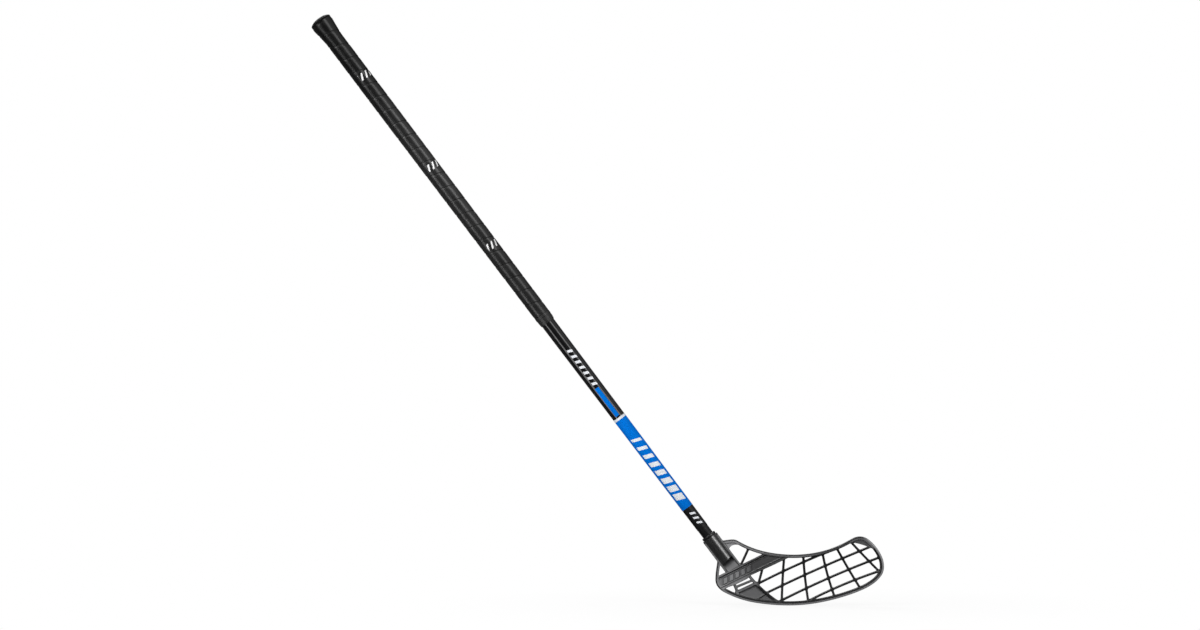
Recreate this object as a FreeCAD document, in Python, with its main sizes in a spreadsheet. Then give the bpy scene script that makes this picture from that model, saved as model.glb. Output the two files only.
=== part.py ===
import FreeCAD, Part
import math
import os
import re

import Sketcher

# Floorball stick in playing pose, in millimetres. The row's origin is the middle of the grip on the
# shaft's axis, +X runs from the heel of the blade to its tip, +Y to the back of the blade, +Z up.
# The shaft's pieces are built along their own +Z from the shaft's lower end, then leaned over.
# The blade is built upright about that same lower end.

Vector = FreeCAD.Vector

# Counts and reaches that shape nothing: points on the edge of each half turn of the tape, points on
# which its gap is measured, and how far the blade's stock runs past its outline.
edge_points = 9
gap_points = 400
gap_window = 8
stock_past = 40.0
same_measure = 0.01

sizes = {
    # Shaft
    "lean": 37.03,
    "shaft_length": 996.0,
    "shaft_wall": 1.6,
    "shaft_top_dia": 23.8,
    "shaft_mid_dia": 21.2,
    "shaft_low_dia": 17.6,
    "shaft_parallel": 162.0,
    "spigot_dia": 17.0,
    "spigot_exposed": 13.9,
    "hand_drop": 276.7,
    # End cap
    "cap_fit": 0.1,
    "cap_plug_length": 24.0,
    "cap_skirt_length": 30.0,
    "cap_skirt_edge": 0.6,
    "cap_flare_dia": 29.8,
    "cap_rim_dia": 31.8,
    "cap_rim_round": 1.6,
    "cap_head": 4.0,
    "cap_dome": 1.4,
    "cap_flat_dia": 11.0,
    # Grip tape and its finishing band
    "tape_thickness": 1.6,
    "tape_pitch": 23.8,
    "tape_seam": 0.6,
    "tape_bond": 0.15,
    "tape_top_drop": 3.0,
    "tape_length": 541.0,
    "tape_tail_width": 4.0,
    "tape_bridge": 8.0,
    "tape_phase": -29.0,
    "band_gap": 0.3,
    "band_width": 15.0,
    "band_taper": 6.0,
    "band_edge": 0.5,
    # Printed films
    "film_bond": 0.03,
    "film_thickness": 0.12,
    "film_gap": 0.2,
    "blue_low": 94.8,
    "blue_length": 163.5,
    "ring_width": 3.8,
    "bar_gap": 2.6,
    "bar_length": 51.6,
    "bar_sweep": 37.6,
    "bar_turn": 94.0,
    # Hosel
    "socket_depth": 43.7,
    "socket_dia": 20.7,
    "socket_fit": 0.08,
    "socket_floor": 3.0,
    "socket_end_gap": 0.3,
    "plate_drop": 7.4,
    "plate_tail": 36.0,
    "plate_depth": 5.0,
    "rail_half": 12.4,
    "rail_width": 3.6,
    "rail_depth": 10.4,
    "boss_dia": 9.0,
    "boss_face": 11.8,
    # Blade screws
    "screw_drop": 12.7,
    "screw_spacing": 18.0,
    "screw_dia": 3.0,
    "screw_length": 9.0,
    "screw_fit": 0.1,
    "head_dia": 6.2,
    "head_height": 2.2,
    "head_crown": 0.7,
    "head_flat_dia": 4.6,
    "recess_span": 3.6,
    "recess_width": 0.9,
    "recess_depth": 1.2,
    # Blade
    "hook_start": 60.0,
    "hook_depth": 25.0,
    "rim_width": 3.4,
    "rim_depth": 11.0,
    "rib_width": 2.5,
    "rib_depth": 7.0,
    "rib_overrun": 12.0,
    "brace_width": 18.8,
    "brace_rise": 26.3,
    "brace_depth": 9.6,
    "leg_width": 4.2,
    "leg_depth": 8.6,
    "gusset_depth": 8.0,
    "panel_depth": 3.0,
}

# The rim's outline runs anticlockwise, seen from the front, through these stations:
# place to the right of and above the shaft's lower end, and heading in degrees.
stations = {
    "heel_top": (-12.4, -1.6, 263.0),
    "heel": (-15.5, -31.2, 270.0),
    "heel_corner": (-2.5, -49.3, 332.0),
    "sole": (92.0, -68.5, 360.0),
    "toe": (183.6, -51.5, 379.8),
    "tip_low": (216.1, -35.6, 396.0),
    "tip": (231.9, -10.5, 450.0),
    "tip_high": (217.6, 22.0, 491.0),
    "crown": (196.9, 33.8, 540.0),
    "crown_rear": (176.2, 25.3, 568.8),
    "waist": (99.4, 6.1, 540.0),
    "shoulder_rear": (21.1, 24.4, 511.0),
    "shoulder": (10.8, 28.4, 540.0),
}

# Ribs and bars: start, middle and end on the centre line.
ribs = {
    "long1": ((48.4, -36.3), (112.7, -5.3), (139.3, 6.2)),
    "long2": ((61.0, -49.9), (146.7, -9.7), (213.1, 19.1)),
    "long3": ((82.4, -61.4), (151.1, -28.2), (224.9, 2.8)),
    "long4": ((121.6, -62.2), (157.0, -44.5), (226.4, -17.1)),
    "cross1": ((32.9, 14.6), (28.2, 4.0), (22.6, -7.5)),
    "cross2": ((53.6, -14.9), (50.9, -26.0), (47.7, -37.1)),
    "cross3": ((85.7, -0.1), (83.6, -31.2), (82.4, -62.2)),
    "cross4": ((114.2, 3.5), (117.1, -31.2), (121.6, -62.9)),
    "cross5": ((143.0, 7.2), (151.1, -28.2), (160.7, -56.3)),
    "cross6": ((163.7, 15.4), (180.6, -14.9), (198.4, -43.7)),
    "cross7": ((185.1, 24.2), (199.8, 8.3), (224.2, -16.4)),
    "slot_rib": ((15.0, -41.8), (27.4, -36.6), (39.0, -31.9)),
}
legs = {
    "rear_leg": ((11.5, -36.3), (15.3, -45.0), (18.6, -54.1)),
    "front_leg": ((35.9, -26.0), (52.5, -44.7), (79.0, -64.0)),
    "panel_bar": ((15.5, -49.4), (31.1, -42.4), (44.5, -35.8)),
}

# Ends that stop on a leg; all other ends run on into the rim or the brace.
stopped = {"long1": "start", "long2": "start", "cross2": "end", "slot_rib": "both", "panel_bar": "both"}

# Single places on the blade.
places = {
    "brace_middle": (21.1, -19.9),
    "gusset_low": (4.6, 14.6),
    "gusset_bend": (7.6, 19.2),
    "gusset_far": (19.6, 20.8),
    "web_rear": (178.0, 24.2),
    "web_bend": (195.4, 22.7),
    "web_far": (216.0, 15.8),
}

# The driving sizes, one named cell each
doc = FreeCAD.newDocument("floorball_stick")
sheet = doc.addObject("Spreadsheet::Sheet", "dims")
for name, (x, z, heading) in stations.items():
    sizes.update({name + "_x": x, name + "_z": z, name + "_heading": heading})
for name, points in {**ribs, **legs}.items():
    for end, (x, z) in zip(("start", "middle", "end"), points):
        sizes.update({f"{name}_{end}_x": x, f"{name}_{end}_z": z})
for name, (x, z) in places.items():
    sizes.update({name + "_x": x, name + "_z": z})
for row, (alias, amount) in enumerate(sizes.items(), start=1):
    sheet.set(f"A{row}", alias)
    sheet.set(f"B{row}", str(amount))
    sheet.setAlias(f"B{row}", alias)
doc.recompute()


def cell(alias):
    return float(sheet.get(alias))


def bound(text):
    """The expression with every size read from its cell."""
    return re.sub(r"[a-z_]\w*", lambda word: "dims." + word[0] if word[0] in sizes else word[0], text)


def number(text):
    return float(sheet.evalExpression(text))


# Heights along the shaft, from its lower end
step = "(socket_depth + spigot_exposed)"
upper_screw = "(socket_depth - screw_drop)"
lower_screw = f"({upper_screw} - screw_spacing)"
hand = "(shaft_length - hand_drop)"
tape_top = "(shaft_length - tape_top_drop)"
tape_low = f"({tape_top} - tape_length)"
band_top = f"({tape_low} - band_gap)"
grip_low = f"({band_top} - band_width)"
parallel_low = "(shaft_length - shaft_parallel)"
cap_top = "(shaft_length + cap_head)"
blue_top = "(blue_low + blue_length)"
ring_low = f"({blue_top} + film_gap)"
ring_top = f"({ring_low} + ring_width)"
bar_low = f"({ring_top} + bar_gap)"
bar_top = f"({bar_low} + bar_length)"
lower_slope = f"((shaft_mid_dia - shaft_low_dia) / 2 / ({grip_low} - {step}))"
upper_slope = f"((shaft_top_dia - shaft_mid_dia) / 2 / ({parallel_low} - {grip_low}))"
skirt_low = "(shaft_length - cap_skirt_length)"
skirt_radius = "(shaft_top_dia / 2 + cap_fit)"
rim_seat = f"({tape_top} + band_gap)"


def lower_radius(height):
    """Shaft radius on the taper below the grip."""
    return f"(shaft_low_dia / 2 + {lower_slope} * ({height} - {step}))"


def lean_over(piece, along="0", out="0", turned=FreeCAD.Rotation()):
    """Set a piece down at a height along the leaning shaft and a distance behind its axis."""
    tilt = FreeCAD.Rotation(Vector(0, -1, 0), cell("lean"))
    piece.Placement = FreeCAD.Placement(Vector(), tilt * turned)
    piece.setExpression(".Placement.Base.x", bound(f"({hand} - {along}) * sin(lean)"))
    piece.setExpression(".Placement.Base.y", bound(out))
    piece.setExpression(".Placement.Base.z", bound(f"({along} - {hand}) * cos(lean)"))
    if turned.isIdentity():
        piece.setExpression(".Placement.Rotation.Angle", bound("lean"))


def turned_body(label, profile, sweep=None):
    """A body turned about +Z from a closed profile of (radius, height) expressions."""
    body = doc.addObject("PartDesign::Body", label)
    body.Label = label
    sketch = body.newObject("Sketcher::SketchObject", label + "_profile")
    plane = [feature for feature in body.Origin.OriginFeatures if feature.Role == "XZ_Plane"][0]
    sketch.AttachmentSupport = (plane, [""])
    sketch.MapMode = "FlatFace"
    # A sketch numbers a line's two ends, its level axis (with the origin as that line's start) and
    # its upright axis.
    line_start = 1
    line_end = 2
    level_axis = -1
    upright_axis = -2
    corners = [Vector(number(radius), number(height), 0) for radius, height in profile]
    for corner, following in zip(corners, corners[1:] + corners[:1]):
        sketch.addGeometry(Part.LineSegment(corner, following))
    for index, (radius, height) in enumerate(profile):
        before = (index - 1) % len(profile)
        sketch.addConstraint(Sketcher.Constraint("Coincident", before, line_end, index, line_start))
        for kind, axis, text, measure in (
            ("DistanceX", upright_axis, radius, corners[index].x),
            ("DistanceY", level_axis, height, corners[index].y),
        ):
            if text == "0":
                sketch.addConstraint(Sketcher.Constraint("PointOnObject", index, line_start, axis))
                continue
            place = sketch.addConstraint(
                Sketcher.Constraint(kind, level_axis, line_start, index, line_start, measure)
            )
            sketch.setExpression(f"Constraints[{place}]", bound(text))
    turn = body.newObject("PartDesign::Revolution", label + "_turn")
    turn.Profile = sketch
    turn.ReferenceAxis = (sketch, ["V_Axis"])
    if sweep:
        turn.Midplane = True
        turn.setExpression("Angle", bound(sweep))
    doc.recompute()
    return body


def film(label, low, high, sweep=None):
    """A printed film that lies on the shaft's lower taper."""
    inner_low = f"{lower_radius(low)} + film_bond"
    inner_high = f"{lower_radius(high)} + film_bond"
    return turned_body(label, [
        (inner_low, low),
        (f"{inner_low} + film_thickness", low),
        (f"{inner_high} + film_thickness", high),
        (inner_high, high),
    ], sweep)


# Shaft: a hollow taper with a parallel spigot, drilled at the back for the two blade screws
shaft_blank = turned_body("shaft_blank", [
    ("spigot_dia / 2", "0"),
    ("spigot_dia / 2", step),
    ("shaft_low_dia / 2", step),
    ("shaft_mid_dia / 2", grip_low),
    ("shaft_top_dia / 2", parallel_low),
    ("shaft_top_dia / 2", "shaft_length"),
    ("shaft_top_dia / 2 - shaft_wall", "shaft_length"),
    ("shaft_top_dia / 2 - shaft_wall", parallel_low),
    ("shaft_mid_dia / 2 - shaft_wall", grip_low),
    ("shaft_low_dia / 2 - shaft_wall", step),
    ("spigot_dia / 2 - shaft_wall", "0"),
])


def shaft_hole(name, height):
    hole = doc.addObject("Part::Cylinder", name)
    hole.Placement = FreeCAD.Placement(Vector(), FreeCAD.Rotation(Vector(1, 0, 0), -90))
    hole.setExpression("Radius", bound("screw_dia / 2 + screw_fit"))
    hole.setExpression("Height", bound("spigot_dia"))
    hole.setExpression(".Placement.Base.z", bound(height))
    return hole


shaft_holes = doc.addObject("Part::MultiFuse", "shaft_holes")
shaft_holes.Shapes = [
    shaft_hole("shaft_hole_upper", upper_screw),
    shaft_hole("shaft_hole_lower", lower_screw),
]
shaft_tube = doc.addObject("Part::Cut", "shaft_tube")
shaft_tube.Label = "shaft_tube"
shaft_tube.Base = shaft_blank
shaft_tube.Tool = shaft_holes
lean_over(shaft_tube)

# End cap: a plug in the bore, a flared skirt round the tube and a domed head
end_cap = turned_body("end_cap", [
    ("0", "(shaft_length - cap_plug_length)"),
    ("shaft_top_dia / 2 - shaft_wall - cap_fit", "(shaft_length - cap_plug_length)"),
    ("shaft_top_dia / 2 - shaft_wall - cap_fit", "shaft_length"),
    (skirt_radius, "shaft_length"),
    (skirt_radius, skirt_low),
    (f"{skirt_radius} + cap_skirt_edge", skirt_low),
    ("cap_flare_dia / 2", tape_top),
    ("cap_flare_dia / 2", rim_seat),
    ("cap_rim_dia / 2", rim_seat),
    ("cap_rim_dia / 2", f"({cap_top} - cap_dome)"),
    ("cap_flat_dia / 2", cap_top),
    ("0", cap_top),
])
rim_edge = [
    f"Edge{index}"
    for index, edge in enumerate(end_cap.Shape.Edges, start=1)
    if edge.Curve.TypeId == "Part::GeomCircle"
    and abs(edge.Curve.Radius - cell("cap_rim_dia") / 2) < same_measure
    and abs(edge.Curve.Center.z - number(f"{cap_top} - cap_dome")) < same_measure
]
unrounded = end_cap.Tip
rim_round = end_cap.newObject("PartDesign::Fillet", "end_cap_rim_round")
rim_round.Base = (unrounded, rim_edge)
rim_round.setExpression("Radius", bound("cap_rim_round"))
lean_over(end_cap)

# Finishing band: full thickness under the tape's end, then drawn down to the shaft
band_shoulder = f"({grip_low} + band_taper)"
grip_radius = f"(shaft_mid_dia / 2 + {upper_slope} * band_width)"
shoulder_radius = f"(shaft_mid_dia / 2 + {upper_slope} * band_taper)"
grip_end_band = turned_body("grip_end_band", [
    ("shaft_mid_dia / 2 + tape_bond", grip_low),
    ("shaft_mid_dia / 2 + tape_bond + band_edge", grip_low),
    (f"{shoulder_radius} + tape_bond + tape_thickness", band_shoulder),
    (f"{grip_radius} + tape_bond + tape_thickness", band_top),
    (f"{grip_radius} + tape_bond", band_top),
])
lean_over(grip_end_band)

# Printed films
lean_over(film("decal_blue_band", "blue_low", blue_top))
lean_over(film("decal_white_ring", ring_low, ring_top))
lean_over(
    film("decal_blue_bar", bar_low, bar_top, "bar_sweep"),
    turned=FreeCAD.Rotation(Vector(0, 0, 1), -cell("bar_turn")),
)


# Grip tape: one strip wound in a left-handed helix, cut level at both ends of the grip
def bare_radius(height):
    """Radius that the tape lies on: the flared skirt, the straight tube or the upper taper."""
    edge = number(skirt_radius) + cell("cap_skirt_edge")
    above = height - number(skirt_low)
    if above > 0:
        return edge + above * (cell("cap_flare_dia") / 2 - edge) / (number(tape_top) - number(skirt_low))
    straight = cell("shaft_top_dia") / 2
    bridge = max(0.0, 1 + above / cell("tape_bridge"))
    taper = max(0.0, number(parallel_low) - height)
    return straight + (edge - straight) * bridge - number(upper_slope) * taper


def tape_low_edge(turn):
    return max(number(tape_low), number(tape_top) - cell("tape_pitch") * turn)


def tape_high_edge(turn):
    return min(number(tape_top), number(tape_top) - cell("tape_pitch") * (turn - 1) - cell("tape_seam"))


def tape_point(turn, edge, lift):
    height = edge(turn)
    radius = bare_radius(height) + cell("tape_bond") + lift
    angle = 2 * math.pi * turn + math.radians(cell("tape_phase"))
    return Vector(radius * math.cos(angle), radius * math.sin(angle), height)


def tape_edge(first, last, edge, lift):
    turns = [first + (last - first) * index / (edge_points - 1) for index in range(edge_points)]
    line = Part.BSplineCurve()
    line.interpolate(Points=[tape_point(turn, edge, lift) for turn in turns], Parameters=turns)
    return line.toShape()


def tape_gap(first, last, thickness):
    """Least distance, on points, from the strip's lower edge to the upper edge one turn on."""
    step_on = (last - 1 - first) / gap_points
    near = []
    for index in range(gap_points + 1):
        turn = first + step_on * index
        for lift in (0, thickness):
            edge_place = tape_point(turn, tape_low_edge, lift)
            for aside in range(-gap_window, gap_window + 1):
                next_place = tape_point(turn + 1 + aside / gap_points, tape_high_edge, lift)
                near.append(edge_place.distanceToPoint(next_place))
    return min(near)


def wound_tape():
    pitch = cell("tape_pitch")
    thickness = cell("tape_thickness")
    tail = cell("tape_tail_width")
    covered = cell("tape_length")
    first = tail / pitch
    full = 1 - cell("tape_seam") / pitch
    level = covered / pitch
    last = (covered - cell("tape_seam") - tail) / pitch + 1
    half_turns = math.ceil((level - full) * 2)
    breaks = [full + (level - full) * index / half_turns for index in range(half_turns + 1)]
    breaks = [first, (first + full) / 2] + breaks + [(level + last) / 2, last]
    forward = 1
    faces = []
    for start, end in zip(breaks, breaks[1:]):
        inner_low = tape_edge(start, end, tape_low_edge, 0)
        inner_high = tape_edge(start, end, tape_high_edge, 0)
        outer_low = tape_edge(start, end, tape_low_edge, thickness)
        outer_high = tape_edge(start, end, tape_high_edge, thickness)
        for one, other in (
            (inner_low, inner_high),
            (outer_low, outer_high),
            (inner_low, outer_low),
            (inner_high, outer_high),
        ):
            faces.append(Part.makeRuledSurface(one, other, forward))
    for turn in (first, last):
        corners = [
            tape_point(turn, tape_low_edge, 0),
            tape_point(turn, tape_high_edge, 0),
            tape_point(turn, tape_high_edge, thickness),
            tape_point(turn, tape_low_edge, thickness),
        ]
        faces.append(Part.Face(Part.makePolygon(corners + corners[:1])))
    shell = Part.Shell(faces)
    shell.sewShape()
    strip = Part.Solid(shell)
    if strip.Volume < 0:
        strip.reverse()
    apart = tape_gap(first, last, thickness)
    print(f"grip_tape: {last - first:.1f} turns, least gap to itself {apart:.2f} mm")
    return strip


grip_tape = doc.addObject("Part::Feature", "grip_tape")
grip_tape.Label = "grip_tape"
grip_tape.Shape = wound_tape()
lean_over(grip_tape)


# Blade
def heading_vector(degrees):
    return Vector(math.cos(math.radians(degrees)), 0, math.sin(math.radians(degrees)))


def inward(degrees):
    return heading_vector(degrees + 90)


def at(name):
    return Vector(cell(name + "_x"), 0, cell(name + "_z"))


def hosel(along, aside):
    """A place on the hosel, by height along the shaft's axis and distance to its right."""
    lean = cell("lean")
    return heading_vector(90 + lean) * along + heading_vector(lean) * aside


def biarc_middle(start, start_heading, end, end_heading):
    """The place and heading where two tangent arcs between the ends meet."""
    leaving = heading_vector(start_heading)
    arriving = heading_vector(end_heading)
    span = end - start
    lean_in = span.dot(leaving + arriving)
    spread = 2 * (1 - leaving.dot(arriving))
    handle = (math.sqrt(lean_in ** 2 + spread * span.dot(span)) - lean_in) / spread
    middle = (start + end + (leaving - arriving) * handle) * 0.5
    chord = middle - start
    turn = math.degrees(math.atan2(chord.z, chord.x)) - start_heading
    turn = (turn + 180) % 360 - 180
    return middle, start_heading + 2 * turn


def outline_knots():
    """Ends and headings of the arcs that make the outline."""
    names = list(stations)
    knots = []
    for name, following in zip(names, names[1:] + names[:1]):
        heading = cell(name + "_heading")
        knots.append((at(name), heading))
        knots.append(biarc_middle(at(name), heading, at(following), cell(following + "_heading")))
    return knots


def outline_wire(inset):
    knots = [(place + inward(heading) * inset, heading) for place, heading in outline_knots()]
    edges = []
    for (start, heading), (end, _) in zip(knots, knots[1:] + knots[:1]):
        chord = end - start
        turn = (math.degrees(math.atan2(chord.z, chord.x)) - heading + 180) % 360 - 180
        reach = chord.Length / 2 / math.cos(math.radians(turn / 2))
        edges.append(Part.Arc(start, start + heading_vector(heading + turn / 2) * reach, end).toShape())
    return Part.Wire(edges)


def hooked_slab(depth):
    """The sheet that the blade is cut from, straight at the hosel and bent forward to the tip."""
    start = cell("hook_start")
    reach = cell("tip_x") - start
    bend = (reach ** 2 + cell("hook_depth") ** 2) / (2 * cell("hook_depth"))
    sweep = math.asin((reach + stock_past) / bend)
    rear = cell("heel_x") - cell("socket_depth") - stock_past
    side = []
    for offset in (depth / 2, -depth / 2):
        radius = bend + offset
        bent = [
            Vector(start + radius * math.sin(angle), radius * math.cos(angle) - bend, 0)
            for angle in (0, sweep / 2, sweep)
        ]
        side.append((Vector(rear, offset, 0), bent))
    (back_end, back), (front_end, front) = side
    profile = Part.Wire([
        Part.LineSegment(back_end, back[0]).toShape(),
        Part.Arc(*back).toShape(),
        Part.LineSegment(back[2], front[2]).toShape(),
        Part.Arc(*reversed(front)).toShape(),
        Part.LineSegment(front[0], front_end).toShape(),
        Part.LineSegment(front_end, back_end).toShape(),
    ])
    low = cell("sole_z") - stock_past
    high = cell("crown_z") + cell("socket_depth") + stock_past
    slab = Part.Face(profile).extrude(Vector(0, 0, high - low))
    slab.translate(Vector(0, 0, low))
    return slab


def prism(wire):
    """A flat shape run right through the blade from front to back."""
    through = cell("hook_depth") + cell("rim_depth") + stock_past
    solid = Part.Face(wire).extrude(Vector(0, 2 * through, 0))
    solid.translate(Vector(0, -through, 0))
    return solid


def closed(points):
    return Part.makePolygon(list(points) + [points[0]])


def strip_wire(name, width):
    """A bar of even width along a gentle arc, run on at the ends that aren't stopped."""
    start, middle, end = (at(f"{name}_{part}") for part in ("start", "middle", "end"))
    stop = stopped.get(name)
    if stop not in ("start", "both"):
        start = start + (start - middle).normalize() * cell("rib_overrun")
    if stop not in ("end", "both"):
        end = end + (end - middle).normalize() * cell("rib_overrun")
    circle = Part.Arc(start, middle, end).toShape().Curve
    inner, outer = (
        [circle.Center + (point - circle.Center) * ((circle.Radius + offset) / circle.Radius)
         for point in (start, middle, end)]
        for offset in (-width / 2, width / 2)
    )
    return Part.Wire([
        Part.Arc(*inner).toShape(),
        Part.LineSegment(inner[2], outer[2]).toShape(),
        Part.Arc(*reversed(outer)).toShape(),
        Part.LineSegment(outer[0], inner[0]).toShape(),
    ])


def blade_lattice():
    """Everything of the blade but the round socket and its bosses."""
    inside = prism(outline_wire(cell("rim_width") / 2))
    rim = prism(outline_wire(0)).cut(prism(outline_wire(cell("rim_width"))))
    pieces = [rim.common(hooked_slab(cell("rim_depth")))]

    thin = [prism(strip_wire(name, cell("rib_width"))) for name in ribs]
    web = Part.Wire([
        Part.Arc(at("web_rear"), at("web_bend"), at("web_far")).toShape(),
        Part.makePolygon([at("web_far"), at("tip_high"), at("crown"), at("crown_rear"), at("web_rear")]),
    ])
    thin.append(prism(web))
    rib_slab = hooked_slab(cell("rib_depth")).common(inside)
    pieces += [shape.common(rib_slab) for shape in thin]

    leg_slab = hooked_slab(cell("leg_depth")).common(inside)
    pieces += [prism(strip_wire(name, cell("leg_width"))).common(leg_slab) for name in legs]

    # The brace runs from rim to rim, so its stock is longer than the blade.
    along = heading_vector(cell("brace_rise")) * cell("tip_x")
    across = inward(cell("brace_rise")) * (cell("brace_width") / 2)
    middle = at("brace_middle")
    brace = closed([
        middle - along - across,
        middle + along - across,
        middle + along + across,
        middle - along + across,
    ])
    pieces.append(prism(brace).common(hooked_slab(cell("brace_depth")).common(inside)))

    below = Vector(0, 0, cell("sole_z"))
    panel = closed([
        at("rear_leg_end"), at("panel_bar_start"), at("panel_bar_end"), at("front_leg_middle"),
        at("front_leg_end"), at("front_leg_end") + below, at("rear_leg_end") + below,
    ])
    pieces.append(prism(panel).common(hooked_slab(cell("panel_depth")).common(inside)))

    gusset = Part.Wire([
        Part.Arc(at("gusset_low"), at("gusset_bend"), at("gusset_far")).toShape(),
        Part.makePolygon([
            at("gusset_far"),
            at("shoulder_rear"),
            at("shoulder"),
            hosel(number(upper_screw), 0),
            at("gusset_low"),
        ]),
    ])
    pieces.append(prism(gusset).common(hooked_slab(cell("gusset_depth"))).common(inside))

    top = cell("socket_depth") - cell("plate_drop")
    tail = -cell("plate_tail")
    half = cell("rail_half")
    inner = half - cell("rail_width")
    for left, right, depth in (
        (-half, -inner, "rail_depth"), (inner, half, "rail_depth"), (-half, half, "plate_depth"),
    ):
        plate = closed([hosel(top, left), hosel(top, right), hosel(tail, right), hosel(tail, left)])
        pieces.append(prism(plate).common(hooked_slab(cell(depth))))
    return pieces[0].multiFuse(pieces[1:]).removeSplitter()


lattice = doc.addObject("Part::Feature", "blade_lattice")
lattice.Shape = blade_lattice()


def blade_round(name, radius, low, high):
    """A round form on the shaft's axis, in the blade's own place."""
    form = doc.addObject("Part::Cylinder", name)
    form.Placement = FreeCAD.Placement(Vector(), FreeCAD.Rotation(Vector(0, -1, 0), cell("lean")))
    form.setExpression("Radius", bound(radius))
    form.setExpression("Height", bound(f"{high} - ({low})"))
    form.setExpression(".Placement.Base.x", bound(f"-({low}) * sin(lean)"))
    form.setExpression(".Placement.Base.z", bound(f"({low}) * cos(lean)"))
    form.setExpression(".Placement.Rotation.Angle", bound("lean"))
    return form


def blade_crosswise(name, radius, height, length):
    """A round form from the shaft's axis towards the back of the blade."""
    form = doc.addObject("Part::Cylinder", name)
    form.Placement = FreeCAD.Placement(Vector(), FreeCAD.Rotation(Vector(1, 0, 0), -90))
    form.setExpression("Radius", bound(radius))
    form.setExpression("Height", bound(length))
    form.setExpression(".Placement.Base.x", bound(f"-{height} * sin(lean)"))
    form.setExpression(".Placement.Base.z", bound(f"{height} * cos(lean)"))
    return form


solid_blade = doc.addObject("Part::MultiFuse", "blade_solid")
solid_blade.Shapes = [
    lattice,
    blade_round("blade_socket", "socket_dia / 2", "-socket_floor", "socket_depth"),
    blade_crosswise("blade_boss_upper", "boss_dia / 2", upper_screw, "boss_face"),
    blade_crosswise("blade_boss_lower", "boss_dia / 2", lower_screw, "boss_face"),
]
hollows = doc.addObject("Part::MultiFuse", "blade_hollows")
hollows.Shapes = [
    blade_round("blade_bore", "spigot_dia / 2 + socket_fit", "-socket_end_gap", "2 * socket_depth"),
    blade_crosswise("blade_hole_upper", "screw_dia / 2 + screw_fit", upper_screw, "2 * boss_face"),
    blade_crosswise("blade_hole_lower", "screw_dia / 2 + screw_fit", lower_screw, "2 * boss_face"),
]
blade = doc.addObject("Part::Cut", "blade")
blade.Label = "blade"
blade.Base = solid_blade
blade.Tool = hollows
blade.Refine = True
blade.setExpression(".Placement.Base.x", bound(f"{hand} * sin(lean)"))
blade.setExpression(".Placement.Base.z", bound(f"-{hand} * cos(lean)"))


def blade_screw(label, height):
    """A pan-head screw with a cross recess, its head on the boss at the back of the hosel."""
    crown = "(screw_length + head_height)"
    turned = turned_body(label + "_blank", [
        ("0", "0"),
        ("screw_dia / 2", "0"),
        ("screw_dia / 2", "screw_length"),
        ("head_dia / 2", "screw_length"),
        ("head_dia / 2", f"{crown} - head_crown"),
        ("head_flat_dia / 2", crown),
        ("0", crown),
    ])
    slots = []
    for name, long, wide in (
        ("_slot", "recess_span", "recess_width"),
        ("_cross_slot", "recess_width", "recess_span"),
    ):
        slot = doc.addObject("Part::Box", label + name)
        slot.setExpression("Length", bound(long))
        slot.setExpression("Width", bound(wide))
        slot.setExpression("Height", bound("2 * recess_depth"))
        slot.setExpression(".Placement.Base.x", bound(f"-{long} / 2"))
        slot.setExpression(".Placement.Base.y", bound(f"-{wide} / 2"))
        slot.setExpression(".Placement.Base.z", bound(f"{crown} - recess_depth"))
        slots.append(slot)
    cross = doc.addObject("Part::MultiFuse", label + "_recess")
    cross.Shapes = slots
    screw = doc.addObject("Part::Cut", label)
    screw.Label = label
    screw.Base = turned
    screw.Tool = cross
    lean_over(screw, height, "boss_face - screw_length", FreeCAD.Rotation(Vector(1, 0, 0), -90))
    return screw


blade_screw_upper = blade_screw("blade_screw_upper", upper_screw)
blade_screw_lower = blade_screw("blade_screw_lower", lower_screw)
doc.recompute()

sub_parts = [
    shaft_tube,
    end_cap,
    grip_tape,
    grip_end_band,
    doc.decal_blue_band,
    doc.decal_white_ring,
    doc.decal_blue_bar,
    blade,
    blade_screw_upper,
    blade_screw_lower,
]
for item in doc.Objects:
    if "Invalid" in item.State or "Error" in item.State:
        raise RuntimeError(f"{item.Label} failed: {item.State}")
for part in sub_parts:
    if part.Shape.isNull() or not part.Shape.isValid():
        raise RuntimeError(f"{part.Label} has no valid shape")
os.makedirs("parts", exist_ok=True)
for part in sub_parts:
    part.Shape.exportStep(f"parts/{part.Label}.step")
    print(f"{part.Label}: {len(part.Shape.Solids)} solid, {part.Shape.Volume:.0f} mm3")
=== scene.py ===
import math

import bmesh
import bpy
import numpy as np
import openvdb
from mathutils import Matrix, Vector


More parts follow.
